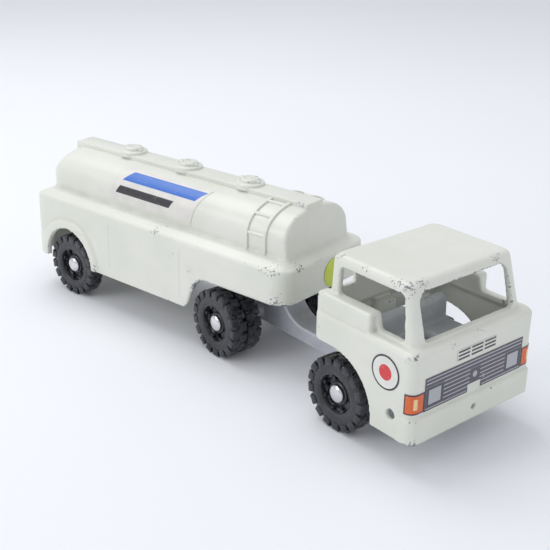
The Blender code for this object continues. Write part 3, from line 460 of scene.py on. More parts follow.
# "sheen" says which mask drives the roughness, then its range and the roughness at each end
finishes = {
    "capChrome": {
        "start": {"Metallic": 1.0}, "grain": (500.0, 70.0), "light": (0.78, 0.78, 0.80), "dark": (0.62, 0.62, 0.64),
        "dust": (0.12, 420.0, (0.42, 0.41, 0.39)), "sheen": ("Height", 0.35, 0.65, 0.10, 0.24),
        "bump": (0.12, 0.0002),
    },
    "axleSteel": {
        "start": {"Metallic": 1.0}, "grain": (800.0, 70.0), "light": (0.52, 0.52, 0.53), "dark": (0.38, 0.38, 0.39),
        "dust": (0.3, 420.0, (0.42, 0.41, 0.39)), "sheen": ("Height", 0.35, 0.65, 0.28, 0.45), "bump": (0.3, 0.0002),
    },
    "tyreBlack": {
        "start": {"Specular_IOR_Level": 0.55}, "grain": (900.0, 60.0), "light": (0.009, 0.010, 0.014),
        "dark": (0.020, 0.021, 0.028), "dust": (0.22, 500.0, (0.20, 0.20, 0.215)),
        "sheen": ("Mask", 0.0, 0.5, 0.27, 0.6), "bump": (0.35, 0.0003),
    },
    "seatGrey": {
        "start": {"Specular_IOR_Level": 0.6}, "grain": (700.0, 50.0), "light": (0.52, 0.54, 0.57),
        "dark": (0.44, 0.46, 0.49), "edgeBlend": (0.5, (0.5, 0.5, 0.52)), "dust": (0.3, 400.0, (0.34, 0.34, 0.33)),
        "sheen": ("Tone", 0.0, 1.0, 0.24, 0.38), "bump": (0.3, 0.0003),
    },
    # the pale colour laid on the chassis edges is a painted highlight along the rounded edges, partly bare-metal wear
    "chassisCasting": {
        "start": {"Metallic": 0.3}, "grain": (650.0, 45.0), "light": (0.54, 0.55, 0.60), "dark": (0.44, 0.45, 0.50),
        "edgeBlend": (1.0, (0.84, 0.86, 0.90)), "dust": (0.3, 350.0, (0.40, 0.39, 0.37)),
        "sheen": ("Height", 0.35, 0.65, 0.38, 0.6), "bump": (0.6, 0.0004),
    },
}


def makeFinish(name):
    look = finishes[name]
    material, tree, shader = newMaterial(name, **look["start"])
    fine, broad = look["grain"]
    amount, speck, dustColour = look["dust"]
    grain = placeGroup(tree, grainGroup, Fine=fine, Broad=broad)
    film = placeGroup(tree, dustGroup, Amount=amount, Grain=speck)
    colour = blendColours(tree, grain.outputs["Tone"], look["light"], look["dark"])
    # the edge colour is real wear on the seats; on the chassis it is a painted highlight, partly bare-metal wear
    if "edgeBlend" in look:
        share, wearAndHighlightColour = look["edgeBlend"]
        colour = blendColours(tree, times(tree, readMark(tree, "edge"), share), colour, wearAndHighlightColour)
    colour = blendColours(tree, film.outputs["Mask"], colour, dustColour)
    feed(tree, shader.inputs["Base Color"], colour)
    driver, *ends = look["sheen"]
    masks = {"Tone": grain.outputs["Tone"], "Height": grain.outputs["Height"], "Mask": film.outputs["Mask"]}
    feed(tree, shader.inputs["Roughness"], fade(tree, masks[driver], *ends))
    addBump(tree, shader, grain.outputs["Height"], *look["bump"])
    return material


print("materials: shared effects ready")


# trailer: one casting of skirt, ledge and tank, with its walkway and manholes

trailer = {
    "length": 264.0, "half": 47.8, "draft": 1.4, "frontRound": 13.0, "rearRound": 7.0, "wall": 3.4,
    "skirtTop": 79.6, "slope": 7.5, "rise": 3.4, "rearBottom": 28.6, "frontBottom": 54.6, "cornerRound": 7.0,
    "driveArch": 37.0, "driveAxle": 210.1, "archX": 40.2, "archZ": 30.5, "archRadius": 26.6, "lipWidth": 6.4,
    "lipHeight": 2.4,
    "kingpinX": 213.9, "bossRadius": 9.0, "bossBottom": 51.3, "bossTop": 93.0, "voxel": 1.32,
    "web": {"thick": 3.0, "lowHalf": 46.8, "highHalf": 33.6, "bottom": 57.0, "top": 95.0},
    "lug": {"y": 30.0, "half": 9.0, "thick": 4.0, "bottom": 19.0, "top": 86.0},
}
tank = {
    "half": 34.6, "rear": 3.5, "front": 256.0, "lean": 4.0, "sideTop": 93.0, "top": 113.2, "roundness": 2.35,
    "rearRound": 17.0, "sideShare": 0.5, "frontRound": 1.6, "walkHalf": 8.7, "walkTop": 116.0, "walkRear": 9.0,
    "walkFront": 251.5,
    "manholes": (69.0, 130.0, 192.0), "manholeRadius": 10.6, "manholeFlange": 118.2, "capRadius": 7.0,
    "capTop": 120.75,
}


def skirtRings(inset, low, top):
    slope = trailer["slope"]
    crest = top + trailer["rise"]
    rings = []
    steps = ((-trailer["draft"], low), (0.0, top - 1.8), (0.25, top - 0.9), (0.8, top - 0.25), (1.6, top + 0.2),
             (slope, crest - 0.5), (slope + 0.6, crest - 0.1), (slope + 1.2, crest))
    for move, z in steps:
        total = inset + move
        rings.append(planRing(total, trailer["length"] - total, trailer["half"] - total,
                              max(trailer["rearRound"] - total, 1.0), max(trailer["frontRound"] - total, 1.0), z))
    return rings


def tankSection(inset=0.0, steps=26, side=None):
    half = tank["half"] - (inset if side is None else side)
    rise = tank["top"] - tank["sideTop"] - inset
    power = 2 / tank["roundness"]
    angles = [pi / 2 * step / steps for step in range(1, steps + 1)]
    arc = [(-half * max(cos(angle), 0.0) ** power, tank["sideTop"] + rise * sin(angle) ** power) for angle in angles]
    return [(-half, tank["sideTop"])] + arc


def tankRing(x, foot, inset, lean, side=None):
    right = [(-(tank["half"] - (inset if side is None else side)), foot)] + tankSection(inset, 26, side)
    left = [(-y, z) for y, z in reversed(right[:-1])]
    height = tank["top"] - trailer["skirtTop"]
    return [(x - lean * (z - trailer["skirtTop"]) / height, y, z) for y, z in right + left]


def tankForm(inset, foot):
    rear = tank["rear"] + inset
    front = tank["front"] - inset
    rings = []
    for step in range(11):
        angle = pi / 2 * step / 10
        shrink = tank["rearRound"] * (1 - sin(angle))
        rings.append(tankRing(rear + tank["rearRound"] * (1 - cos(angle)), foot, inset + shrink, 0.0, inset
                              + shrink * tank["sideShare"]))
    rings.append(tankRing(front - tank["frontRound"], foot, inset, tank["lean"]))
    rings.append(tankRing(front - tank["frontRound"] * 0.3, foot, inset + tank["frontRound"] * 0.3, tank["lean"]))
    rings.append(tankRing(front, foot, inset + tank["frontRound"], tank["lean"]))
    return loft(rings)


def archOutline(radius, bottom):
    x, z = trailer["archX"], trailer["archZ"]
    arc = [(x + radius * cos(pi * step / 36), z + radius * sin(pi * step / 36)) for step in range(37)]
    return [(x + radius, bottom)] + arc + [(x - radius, bottom)]


def skirtUnderside():
    axle, reach = trailer["driveAxle"], trailer["driveArch"]
    low, corner = trailer["rearBottom"], trailer["cornerRound"]
    startX = axle - sqrt(reach ** 2 - (low - layout["axleZ"]) ** 2)
    points = [(-10.0, -10.0), (-10.0, low), (startX - corner / 2, low), (startX - corner / 5, low + corner / 7)]
    for step in range(17):
        angle = radians(166.25 + (126.5 - 166.25) * step / 16)
        points.append((axle + reach * cos(angle), layout["axleZ"] + reach * sin(angle)))
    points += [(points[-1][0] + corner / 2, trailer["frontBottom"]), (280.0, trailer["frontBottom"]), (280.0, -10.0)]
    return sidePrism(points, -80.0, 80.0)


def makeTrailerCasting():
    top = trailer["skirtTop"]
    body = loft(skirtRings(0.0, 17.0, top))
    for side in (-1, 1):
        lip = archOutline(trailer["archRadius"] + trailer["lipWidth"], 17.0)
        add(body, sidePrism(lip, *sorted((side * (trailer["half"] - 1.0),
                                          side * (trailer["half"] + trailer["lipHeight"])))))
    cut(body, loft(skirtRings(trailer["wall"], 12.0, top - trailer["wall"])))
    add(body, tankForm(0.0, top - 1.0))
    cut(body, tankForm(trailer["wall"], top - 12.0))
    web, lug, axleX = trailer["web"], trailer["lug"], layout["trailerX"]
    for x in (trailer["kingpinX"], axleX):
        slab = (x - web["thick"] / 2, x + web["thick"] / 2)
        add(body, block(slab, (-web["lowHalf"], web["lowHalf"]), (web["bottom"], top)))
        add(body, block(slab, (-web["highHalf"], web["highHalf"]), (top - 1.0, web["top"])))
    boss = rod(trailer["bossRadius"], trailer["bossBottom"], trailer["bossTop"])
    add(body, moved(boss, (trailer["kingpinX"], 0.0, 0.0)))
    for y in (-lug["y"], lug["y"]):
        slab = (y - lug["thick"] / 2, y + lug["thick"] / 2)
        add(body, block((axleX - lug["half"], axleX + lug["half"]), slab, (lug["bottom"], lug["top"])))
    underside = skirtUnderside()
    cut(underside, block((20.0, 58.0), (-34.0, 34.0), (-20.0, top)))
    cut(underside, moved(rod(10.0, 51.0, top), (trailer["kingpinX"], 0.0, 0.0)))
    cut(body, underside)
    for side in (-1, 1):
        cut(body, sidePrism(archOutline(trailer["archRadius"], 5.0), *sorted((side * 41.0, side * 80.0))))
    cut(body, moved(rod(layout["axleBore"], -80.0, 80.0), (layout["trailerX"], 0.0, layout["axleZ"]), "Y"))
    cut(body, moved(rod(layout["pinBore"], 40.0, 68.0), (trailer["kingpinX"], 0.0, 0.0)))
    castSkin(body, trailer["voxel"], 1)
    return markEdges(body)


def makeWalkway():
    half = tank["walkHalf"]
    return markEdges(block((tank["walkRear"], tank["walkFront"]), (-half, half), (tank["top"] - 4.0, tank["walkTop"]),
                           0.55, 3), 0, 0.5)


def makeManhole(x):  # a round flange with a raised cap, a hinge block and a latch
    radius, flange, cap, capTop = tank["manholeRadius"], tank["manholeFlange"], tank["capRadius"], tank["capTop"]
    form = turnedForm([(0.0, 114.0), (radius, 114.0), (radius, flange - 1.2), (radius - 0.15, flange - 0.7),
                       (radius - 0.5, flange - 0.25),
                       (radius - 1.1, flange), (cap + 0.5, flange), (cap + 0.1, flange + 0.3), (cap, capTop - 1.1),
                       (cap - 0.3, capTop - 0.4),
                       (cap - 1.0, capTop), (cap - 2.2, capTop), (cap - 2.6, capTop - 0.35), (0.0, capTop - 0.35)],
                       72)
    add(form, block((-radius + 1.2, -cap + 1.0), (-2.2, 2.2), (flange - 1.0, capTop - 0.3), 0.4, 2))
    add(form, block((cap - 1.0, radius - 1.8), (-1.4, 1.4), (flange - 1.0, capTop - 0.9), 0.35, 2))
    return markEdges(moved(form, (x, 0.0, 0.0)), 0, 0.7)


# ladders up the tank's front: rails in mesh, rungs repeated by nodes

ladder = {"rails": (219.5, 236.0), "railWidth": 2.6, "height": 1.5, "rungs": 3, "rungRadius": 1.2, "sink": 0.8,
          "lowest": 0.27, "highest": 0.86}


def ladderPath(side):
    section = tankSection()
    line = [(-tank["half"], trailer["skirtTop"] + trailer["rise"] - 0.5)] + section[:-2]
    return [(side * -y, z) for y, z in line]


def pointAlong(line, share):
    spans = [sqrt((b[0] - a[0]) ** 2 + (b[1] - a[1]) ** 2) for a, b in zip(line, line[1:])]
    goal = share * sum(spans)
    for (a, b), span in zip(zip(line, line[1:]), spans):
        if goal <= span:
            return Vector(a).lerp(Vector(b), goal / span)
        goal -= span
    return Vector(line[-1])


def newRepeater(name, inputs):
    tree = bpy.data.node_groups.new(name, "GeometryNodeTree")
    for label, kind in (("Geometry", "Geometry"), *inputs, ("Finish", "Material")):
        tree.interface.new_socket(name=label, in_out="INPUT", socket_type="NodeSocket" + kind)
    tree.interface.new_socket(name="Geometry", in_out="OUTPUT", socket_type="NodeSocketGeometry")
    return tree, tree.nodes.new("NodeGroupInput"), tree.nodes.new("NodeGroupOutput")


def repeatOn(tree, start, end, points, shape, turn=(0.0, 0.0, 0.0)):
    copies = put(tree, "GeometryNodeInstanceOnPoints", {"Points": points, "Instance": shape, "Rotation": turn})
    joined = put(tree, "GeometryNodeJoinGeometry")
    tree.links.new(start.outputs["Geometry"], joined.inputs[0])
    tree.links.new(copies.outputs["Instances"], joined.inputs[0])
    real = put(tree, "GeometryNodeRealizeInstances", {"Geometry": joined.outputs[0]})
    finish = {"Geometry": real.outputs[0], "Material": start.outputs["Finish"]}
    tree.links.new(put(tree, "GeometryNodeSetMaterial", finish).outputs[0], end.inputs[0])
    return tree


def makeRungTree():
    inputs = (("Path", "Object"), ("Count", "Int"), ("Radius", "Float"), ("Width", "Float"))
    tree, start, end = newRepeater("rungsAlongPath", inputs)
    given = start.outputs
    path = put(tree, "GeometryNodeObjectInfo", {"Object": given["Path"]}, transform_space="RELATIVE")
    line = {"Curve": path.outputs["Geometry"], "Count": given["Count"]}
    bar = {"Vertices": 14, "Radius": given["Radius"], "Depth": given["Width"]}
    laid = put(tree, "GeometryNodeTransform", {
        "Geometry": put(tree, "GeometryNodeMeshCylinder", bar).outputs["Mesh"], "Rotation": (0.0, pi / 2, 0.0)})
    points = put(tree, "GeometryNodeResampleCurve", line).outputs["Curve"]
    return repeatOn(tree, start, end, points, laid.outputs["Geometry"])


def setInputs(modifier, values):
    for item in modifier.node_group.interface.items_tree:
        if item.in_out == "INPUT" and item.name in values:
            modifier[item.identifier] = values[item.name]


def makeLadder(side, material, rungTree):
    line = ladderPath(side)
    rails = None
    for x in ladder["rails"]:
        walls = []
        for index, (y, z) in enumerate(line):
            before = line[max(index - 1, 0)]
            after = line[min(index + 1, len(line) - 1)]
            along = Vector((after[0] - before[0], after[1] - before[1])).normalized()
            outward = Vector((-along.y, along.x)) if side < 0 else Vector((along.y, -along.x))
            walls.append((Vector((y, z)), outward))
        outline = [spot + out * ladder["height"] for spot, out in walls] + [spot - out * ladder["sink"] for spot,
                                                                            out in reversed(walls)]
        rail = frontPrism([(point.x, point.y) for point in outline], x - ladder["railWidth"] / 2, x
                          + ladder["railWidth"] / 2)
        rails = rail if rails is None else add(rails, rail)
    bevel = rails.modifiers.new("softRail", "BEVEL")
    bevel.width = 0.45
    bevel.segments = 2
    bevel.limit_method = "ANGLE"
    bevel.angle_limit = radians(50)
    bake(rails)
    middle = sum(ladder["rails"]) / 2
    curve = bpy.data.curves.new("rungPath", "CURVE")
    curve.dimensions = "3D"
    spline = curve.splines.new("POLY")
    low, high = ladder["lowest"], ladder["highest"]
    spots = [pointAlong(line, low + (high - low) * step / 40) for step in range(41)]
    spline.points.add(len(spots) - 1)
    for point, (y, z) in zip(spline.points, spots):
        point.co = (middle, y, z + 0.35, 1.0)
    guide = linked("rungGuide", curve)
    modifier = rails.modifiers.new("rungs", "NODES")
    modifier.node_group = rungTree
    setInputs(modifier, {"Path": guide, "Count": ladder["rungs"], "Radius": ladder["rungRadius"],
                         "Width": ladder["rails"][1] - ladder["rails"][0] - 0.4, "Finish": material})
    bake(rails)
    bpy.data.objects.remove(guide, do_unlink=True)
    return rails


trailerKnocks = [(trailerPlace @ Vector(spot), radius * mm) for spot, radius in (
    ((182.0, -48.5, 46.0), 13.0), ((176.0, -48.5, 60.0), 8.0), ((158.0, -48.0, 66.0), 9.0),
    ((250.0, -46.0, 81.0), 16.0),
    ((262.0, -30.0, 80.0), 12.0), ((255.0, -46.5, 58.0), 14.0), ((140.0, -44.0, 80.0), 7.0),
    ((72.0, -48.5, 33.0), 9.0),
    ((246.0, -8.0, 115.5), 8.0), ((69.0, 0.0, 119.0), 12.0), ((130.0, 0.0, 119.0), 13.0), ((192.0, 0.0, 119.0), 13.0),
    ((12.0, 47.0, 78.0), 15.0), ((205.0, 48.5, 60.0), 11.0))]
doorLines = {"xs": [(trailerPlace @ Vector((x, 0.0, 0.0))).x for x in (89.0, 166.0)], "width": 0.0008, "low": 0.036,
             "high": 0.0735}
trailerPaint = makePaint("trailerEnamel", trailerKnocks, doorLines)

casting = makeTrailerCasting()
finishPiece(casting, "trailerCasting", trailerPaint, *onTrailer, "cream_paint", ["trailer_body"], 80.0)
finishPiece(makeWalkway(), "walkway", trailerPaint, *onTrailer, "cream_paint", [], 30.0)
for index, x in enumerate(tank["manholes"]):
    finishPiece(makeManhole(x), "manhole" + str(index + 1), trailerPaint, *onTrailer, "cream_paint", [], 40.0)
rungTree = makeRungTree()
for side, word in ((-1, "Right"), (1, "Left")):
    finishPiece(makeLadder(side, trailerPaint, rungTree), "ladder" + word, trailerPaint, *onTrailer, "cream_paint",
                [])
print("trailer: casting and ladders made")


# wheels: a moulded tyre and rim in one, with lugs and tabs repeated round it by nodes

wheel = {
    "radius": 25.0, "carcass": 23.9, "width": 12.4, "rim": 13.0, "hub": 7.2, "hubDrop": 3.4, "floorDrop": 5.4, 
    "windows": 6, "windowSize": (4.0, 3.6), "lugs": 17, "lugSize": (6.1, 7.3, 2.1), "skew": 0.16,
    "blockSize": (4.6, 5.8, 0.9),
    "tabs": 8, "tabSize": (2.2, 2.8, 3.4), "capRadius": 6.1, "capHeight": 2.9,
    "capGap": 0.3, "turn": 0.37,  # turn: each tyre stands at its own angle
}


def makeRingTree():
    numbers = [(label, "Float") for label in ("Radius", "Height", "Start", "Skew")]
    tree, start, end = newRepeater("copiesRoundRing", (("Copy", "Object"), ("Count", "Int"), *numbers))
    given = start.outputs
    points = put(tree, "GeometryNodePoints", {"Count": given["Count"]})
    index = put(tree, "GeometryNodeInputIndex").outputs[0]
    angle = sums(tree, "DIVIDE", times(tree, index, 2 * pi), given["Count"])
    angle = plus(tree, angle, given["Start"])
    x = times(tree, sums(tree, "COSINE", angle), given["Radius"])
    y = times(tree, sums(tree, "SINE", angle), given["Radius"])
    spot = put(tree, "ShaderNodeCombineXYZ", {"X": x, "Y": y, "Z": given["Height"]})
    spread = put(tree, "GeometryNodeSetPosition", {"Geometry": points.outputs[0], "Position": spot.outputs[0]})
    turn = put(tree, "ShaderNodeCombineXYZ", {"X": given["Skew"], "Z": angle})
    shape = put(tree, "GeometryNodeObjectInfo", {"Object": given["Copy"]})
    return repeatOn(tree, start, end, spread.outputs[0], shape.outputs["Geometry"], turn.outputs[0])


def wheelProfile():
    w, rim, hub, bore, skin = wheel["width"], wheel["rim"], wheel["hub"], layout["axleBore"], wheel["carcass"]
    face = [(bore, -wheel["hubDrop"]), (hub, -wheel["hubDrop"]), (hub + 0.5, -wheel["hubDrop"] - 0.4),
            (hub + 0.8, -wheel["floorDrop"]), (rim - 1.3, -wheel["floorDrop"]),
            (rim - 0.4, -wheel["floorDrop"] + 0.7),
            (rim - 0.1, -1.5), (rim + 0.3, -0.75), (rim + 1.0, -0.4), (rim + 1.5, -0.65), (rim + 2.2, -0.45),
            (rim + 3.6, -0.35), (rim + 6.0, -0.45), (rim + 8.2, -0.8), (rim + 9.8, -1.5), (skin - 0.4, -2.4),
            (skin, -3.6)]
    back = [(radius, -w - height) for radius, height in face[7:]]
    back += [(rim - 0.6, -w + 3.5), (hub + 1.0, -w + 3.5), (hub + 1.0, -w + 1.0), (bore, -w + 1.0)]
    rear = [(skin, -w + 4.0), (skin - 0.4, -w + 2.6)] + [(radius, height) for radius, height in reversed(back[:8])]
    return face + rear + back[10:]


def makeWheelMaster(ringTree, rubber):
    form = turnedForm(wheelProfile(), 84)
    length, width = wheel["windowSize"]
    middle = (wheel["rim"] + wheel["hub"]) / 2 + 0.1
    for index in range(wheel["windows"]):
        window = block((-length / 2, length / 2), (-width / 2, width / 2), (-16.0, 4.0))
        window.data.transform(Matrix.Rotation(2 * pi * (index + 0.5) / wheel["windows"], 4,
                                              "Z") @ Matrix.Translation((middle, 0.0, 0.0)))
        cut(form, window)
    lx, ly, lz = wheel["lugSize"]
    lug = block((-lz / 2, lz / 2), (-ly / 2, ly / 2), (-lx / 2, lx / 2), 0.45, 2)
    for vertex in lug.data.vertices:
        if vertex.co.x > 0:
            vertex.co.y *= 0.84
    tx, ty, tz = wheel["tabSize"]
    tab = block((-tx / 2, tx / 2), (-ty / 2, ty / 2), (-tz / 2, tz / 2), 0.4, 2)
    bx, by, bz = wheel["blockSize"]
    shoulder = block((-bx / 2, bx / 2), (-by / 2, by / 2), (-bz / 2, bz / 2), 0.3, 2)
    for vertex in shoulder.data.vertices:
        vertex.co.y *= 1.0 + 0.05 * vertex.co.x
    step = 2 * pi / wheel["lugs"]
    outer = wheel["radius"] - bx / 2 - 0.7
    seat = wheel["radius"] - lz / 2
    rings = ((shoulder, wheel["lugs"], outer, -bz / 2 - 0.1, 0.0, 0.0),
             (shoulder, wheel["lugs"], outer, -wheel["width"] + bz / 2 + 0.1, step / 2, 0.0),
             (lug, wheel["lugs"], seat, -lx / 2 - 0.7, 0.0, wheel["skew"]),
             (lug, wheel["lugs"], seat, -wheel["width"] + lx / 2 + 0.7, step / 2, -wheel["skew"]),
             (tab, wheel["tabs"], wheel["rim"] - tx / 2 + 0.3, -wheel["floorDrop"] + tz / 2 - 0.2, 0.1, 0.0))
    for copy, count, radius, height, start, skew in rings:
        modifier = form.modifiers.new("ring", "NODES")
        modifier.node_group = ringTree
        setInputs(modifier, {"Copy": copy, "Count": count, "Radius": radius, "Height": height, "Start": start,
                             "Skew": skew, "Finish": rubber})
    bake(form)
    for tool in (lug, tab, shoulder):
        bpy.data.objects.remove(tool, do_unlink=True)
    return form


def copyOf(master):
    return linked(master.name, master.data.copy())


def makeCap():
    rim, high, socket = wheel["capRadius"], wheel["capHeight"], layout["axleBore"]
    dome = [(rim * cos(pi / 2 * step / 9), 0.6 + (high - 0.6) * sin(pi / 2 * step / 9)) for step in range(8, -1, -1)]
    return turnedForm([(0.0, high)] + dome + [(rim, 0.15), (rim - 0.2, 0.0), (socket, 0.0), (socket, 1.9),
                                              (0.0, 1.9)], 48)


ringTree = makeRingTree()
rubber = makeFinish("tyreBlack")
chrome = makeFinish("capChrome")
steel = makeFinish("axleSteel")
wheelMaster = makeWheelMaster(ringTree, rubber)
capMaster = makeCap()
outer, inner = layout["outerFace"], layout["innerFace"]
sets = (
    ("trailer_wheel", trailerPlace, layout["trailerX"], layout["trailerFace"], "trailer_axle", True),
    ("front_wheel", tractorPlace, layout["frontX"], outer, "front_axle", True),
    ("drive_wheel_outer", tractorPlace, layout["driveX"], outer, "drive_axle", True),
    ("drive_wheel_inner", tractorPlace, layout["driveX"], inner, "drive_axle", False),
)
for index, (kind, place, x, face, axle, capped) in enumerate(sets):
    for side, word in ((-1, "right"), (1, "left")):
        node = kind + "_" + word
        facing = "Y" if side > 0 else "-Y"
        tyre = copyOf(wheelMaster)
        tyre.data.transform(Matrix.Rotation(wheel["turn"] * (2 * index + side), 4, "Z"))
        moved(tyre, (x, side * face, layout["axleZ"]), facing)
        finishPiece(tyre, "tyre_" + node, rubber, place, node + "_body", "black_tyre", [node], 35.0)
        if capped:
            capSpot = (x, side * (face - wheel["hubDrop"] + wheel["capGap"]), layout["axleZ"])
            cap = moved(copyOf(capMaster), capSpot, facing)
            capNode = axle + "_cap_" + word
            finishPiece(cap, "cap_" + axle + "_" + word, chrome, place, axle + "_set", "polished_cap", [capNode],
                        50.0)
for master in (wheelMaster, capMaster):
    bpy.data.objects.remove(master, do_unlink=True)
print("wheels: eight tyres and six caps made")


# cab casting

cab = {
    "rear": 105.5, "front": 190.5, "half": 54.2, "round": 5.5, "wall": 3.8, "bottom": 21.0, "sideBottom": 59.5,
    "arch": 34.0,
    "belt": 79.5, "upperHalf": 47.2, "upperRear": 110.0, "upperFront": 184.5, "roofHalf": 45.8, "roofRear": 110.8,
    "roofFront": 176.0, "roofTop": 115.5, "roofRound": 4.5, "roofThick": 4.5, "bumperTop": 38.5, "bumperRear": 176.0,
    "bumperStep": 1.8,
    "blockFront": 153.0, "blockTop": 91.0, "window": (119.5, 174.0), "sill": 80.8, "windowTop": 109.0,
    "windowRound": 3.5,
    "screenHalf": 38.5, "rearWindows": ((-38.0, -26.5), (-18.5, 18.5), (26.5, 38.0)), "rearSill": 91.5,
    "rearTop": 106.0,
    "bosses": ((114.0, 0.0, 74.0), (180.5, -22.0, 46.0), (180.5, 22.0, 46.0)), "bossRadius": 6.8,
    "bossBottom": 31.3, "screwTop": 41.0, "sideHole": (3.3, 174.5, 36.0), "frontHole": (2.0, 29.5), "voxel": 0.95,
}


def cabRing(move, rear, front, half, corner, z):
    return planRing(rear + move, front - move, half - move, corner, corner, z)


def cabOuter():
    lower = (cab["rear"], cab["front"], cab["half"])
    upper = (cab["upperRear"], cab["upperFront"], cab["upperHalf"])
    roof = (cab["roofRear"], cab["roofFront"], cab["roofHalf"])
    belt, corner, bend = cab["belt"], cab["round"], cab["roofRound"]
    rings = [cabRing(0.0, *lower, corner, 15.0)]
    for step in range(7):
        angle = pi / 2 * step / 6
        rings.append(cabRing(3.8 * (1 - cos(angle)), *lower, corner, belt - 3.8 * (1 - sin(angle))))
    rings.append(cabRing(0.0, *upper, corner, belt + 0.6))
    for step in range(7):
        angle = pi / 2 * step / 6
        rings.append(cabRing(bend * (1 - cos(angle)), *roof, corner, cab["roofTop"] - bend * (1 - sin(angle))))
    return loft(rings)


def cabInner():
    wall = cab["wall"]
    corner = cab["round"] - wall + 1.0
    lower = (cab["rear"], cab["front"], cab["half"])
    return loft([cabRing(wall, *lower, corner, 9.0), cabRing(wall, *lower, corner, cab["belt"] - 7.0),
                 cabRing(wall, cab["upperRear"], cab["upperFront"], cab["upperHalf"], corner, cab["belt"] - 1.5),
                 cabRing(wall, cab["roofRear"], cab["roofFront"], cab["roofHalf"], corner, cab["roofTop"]
                         - cab["roofThick"])])


def cabUnderside():
    axle, reach = layout["frontX"], cab["arch"]
    points = [(95.0, -10.0), (95.0, cab["sideBottom"]), (axle, cab["sideBottom"])]
    for step in range(29):
        angle = radians(78.0 - 84.0 * step / 28)
        points.append((axle + reach * cos(angle), layout["axleZ"] + reach * sin(angle)))
    points += [(points[-1][0], cab["bottom"]), (200.0, cab["bottom"]), (200.0, -10.0)]
    return sidePrism(points, -80.0, 80.0)


def makeCabCasting():
    body = cabOuter()
    step = cab["bumperStep"]
    rings = ((step / 2, cab["bottom"]), (0.0, cab["bottom"] + step / 2), (0.0, cab["bumperTop"] - 1.4),
             (0.5, cab["bumperTop"] - 0.4), (step, cab["bumperTop"]))
    add(body, loft([cabRing(move, cab["bumperRear"], cab["front"] + step, cab["half"] + step / 3, cab["round"], z)
                    for move, z in rings]))
    for side in (-1, 1):
        add(body, block((cab["rear"] + 1.4, cab["blockFront"]), (side * (cab["half"] - 1.4), side * 43.4),
                        (cab["belt"] - 6.0, cab["blockTop"]), 2.0))
    cut(body, cabInner(), cabUnderside())
    rear, front = cab["window"]
    sill, high, soft = cab["sill"], cab["windowTop"], cab["windowRound"]
    opening = roundedPath(((rear, cab["blockTop"], 2.0), (cab["blockFront"], cab["blockTop"], 3.0),
                           (cab["blockFront"] + 2.5, sill, 2.0),
                           (front + 1.8, sill, 2.0), (front - 1.8, high, soft), (rear, high, soft)))
    cut(body, sidePrism(opening, -80.0, 80.0))
    wide = cab["screenHalf"]
    cut(body, frontPrism(roundedPath(((-wide, sill, 1.8), (wide, sill, 1.8), (wide, high, 2 * soft),
                                      (-wide, high, 2 * soft))), 164.0, 200.0))
    for low, far in cab["rearWindows"]:
        pane = roundedPath(((low, cab["rearSill"], 2.2), (far, cab["rearSill"], 2.2), (far, cab["rearTop"], 2.2),
                            (low, cab["rearTop"], 2.2)))
        cut(body, frontPrism(pane, 95.0, 118.0))
    for x, y, z in cab["bosses"]:
        add(body, moved(rod(cab["bossRadius"], cab["bossBottom"], z), (x, y, 0.0)))
        cut(body, moved(rod(layout["screwBore"], 30.0, cab["screwTop"]), (x, y, 0.0)))
    radius, x, z = cab["sideHole"]
    for side in (-1, 1):
        cut(body, moved(rod(radius, *sorted((side * 46.0, side * 80.0))), (x, 0.0, z), "Y"))
    radius, z = cab["frontHole"]
    cut(body, moved(rod(radius, 182.0, 200.0), (0.0, 0.0, z), "X"))
    castSkin(body, cab["voxel"], 1)
    return markEdges(body)


cabKnocks = [(tractorPlace @ Vector(spot), radius * mm) for spot, radius in (
    ((174.0, -44.5, 113.0), 11.0), ((165.0, -44.0, 114.5), 9.0), ((176.0, -34.0, 113.5), 9.0),
    ((181.0, -47.0, 100.0), 5.0),
    ((189.0, -52.0, 77.0), 8.0), ((190.0, -52.0, 22.0), 8.0), ((140.0, -45.0, 114.5), 8.0),
    ((118.0, -43.0, 114.0), 7.0),
    ((176.0, 30.0, 113.0), 8.0), ((189.5, -20.0, 76.0), 7.0), ((106.0, -50.0, 88.0), 6.0),
    ((112.0, 40.0, 113.0), 11.0))]
cabPaint = makePaint("cabEnamel", cabKnocks)
finishPiece(makeCabCasting(), "cabCasting", cabPaint, *onTractor, "cream_paint", ["cab"], 80.0)
print("cab: casting made")


# two moulded bucket seats on one base

seats = {"rear": 131.4, "front": 163.6, "middle": 17.2, "half": 14.6, "base": 31.5, "cushion": 61.8, "back": 76.8,
         "baseHalf": 33.0, "baseTop": 44.0, "backThick": 8.5, "hollow": 46.0, "hollowLift": 44.6, "voxel": 0.8}


def makeSeats():
    form = block((seats["rear"] + 1.0, seats["front"] - 2.0), (-seats["baseHalf"], seats["baseHalf"]),
                 (seats["base"], seats["baseTop"]), 1.5)
    for side in (-1, 1):
        ys = sorted((side * seats["middle"] - seats["half"], side * seats["middle"] + seats["half"]))
        add(form, block((seats["rear"] + 1.0, seats["front"]), ys, (43.0, seats["cushion"]), 4.0, 6))
        back = block((seats["rear"], seats["rear"] + seats["backThick"]), ys, (43.5, seats["back"]), 3.4, 6)
        for vertex in back.data.vertices:
            vertex.co.x += 1.2 if vertex.co.z < 60.0 else 0.0
        add(form, back)
        middle = sum(ys) / 2
        hollow = rod(seats["hollow"], seats["rear"] + 9.5, seats["front"] - 3.0, 96)
        cut(form, moved(hollow, (0.0, middle, seats["cushion"] + seats["hollowLift"]), "X"))
    castSkin(form, seats["voxel"], 4)
    return markEdges(form, 2, 3.0)


finishPiece(makeSeats(), "bucketSeats", makeFinish("seatGrey"), *onTractor, "grey_seat", ["seat"], 80.0)


# chassis: beam with a curved riser up to the turntable

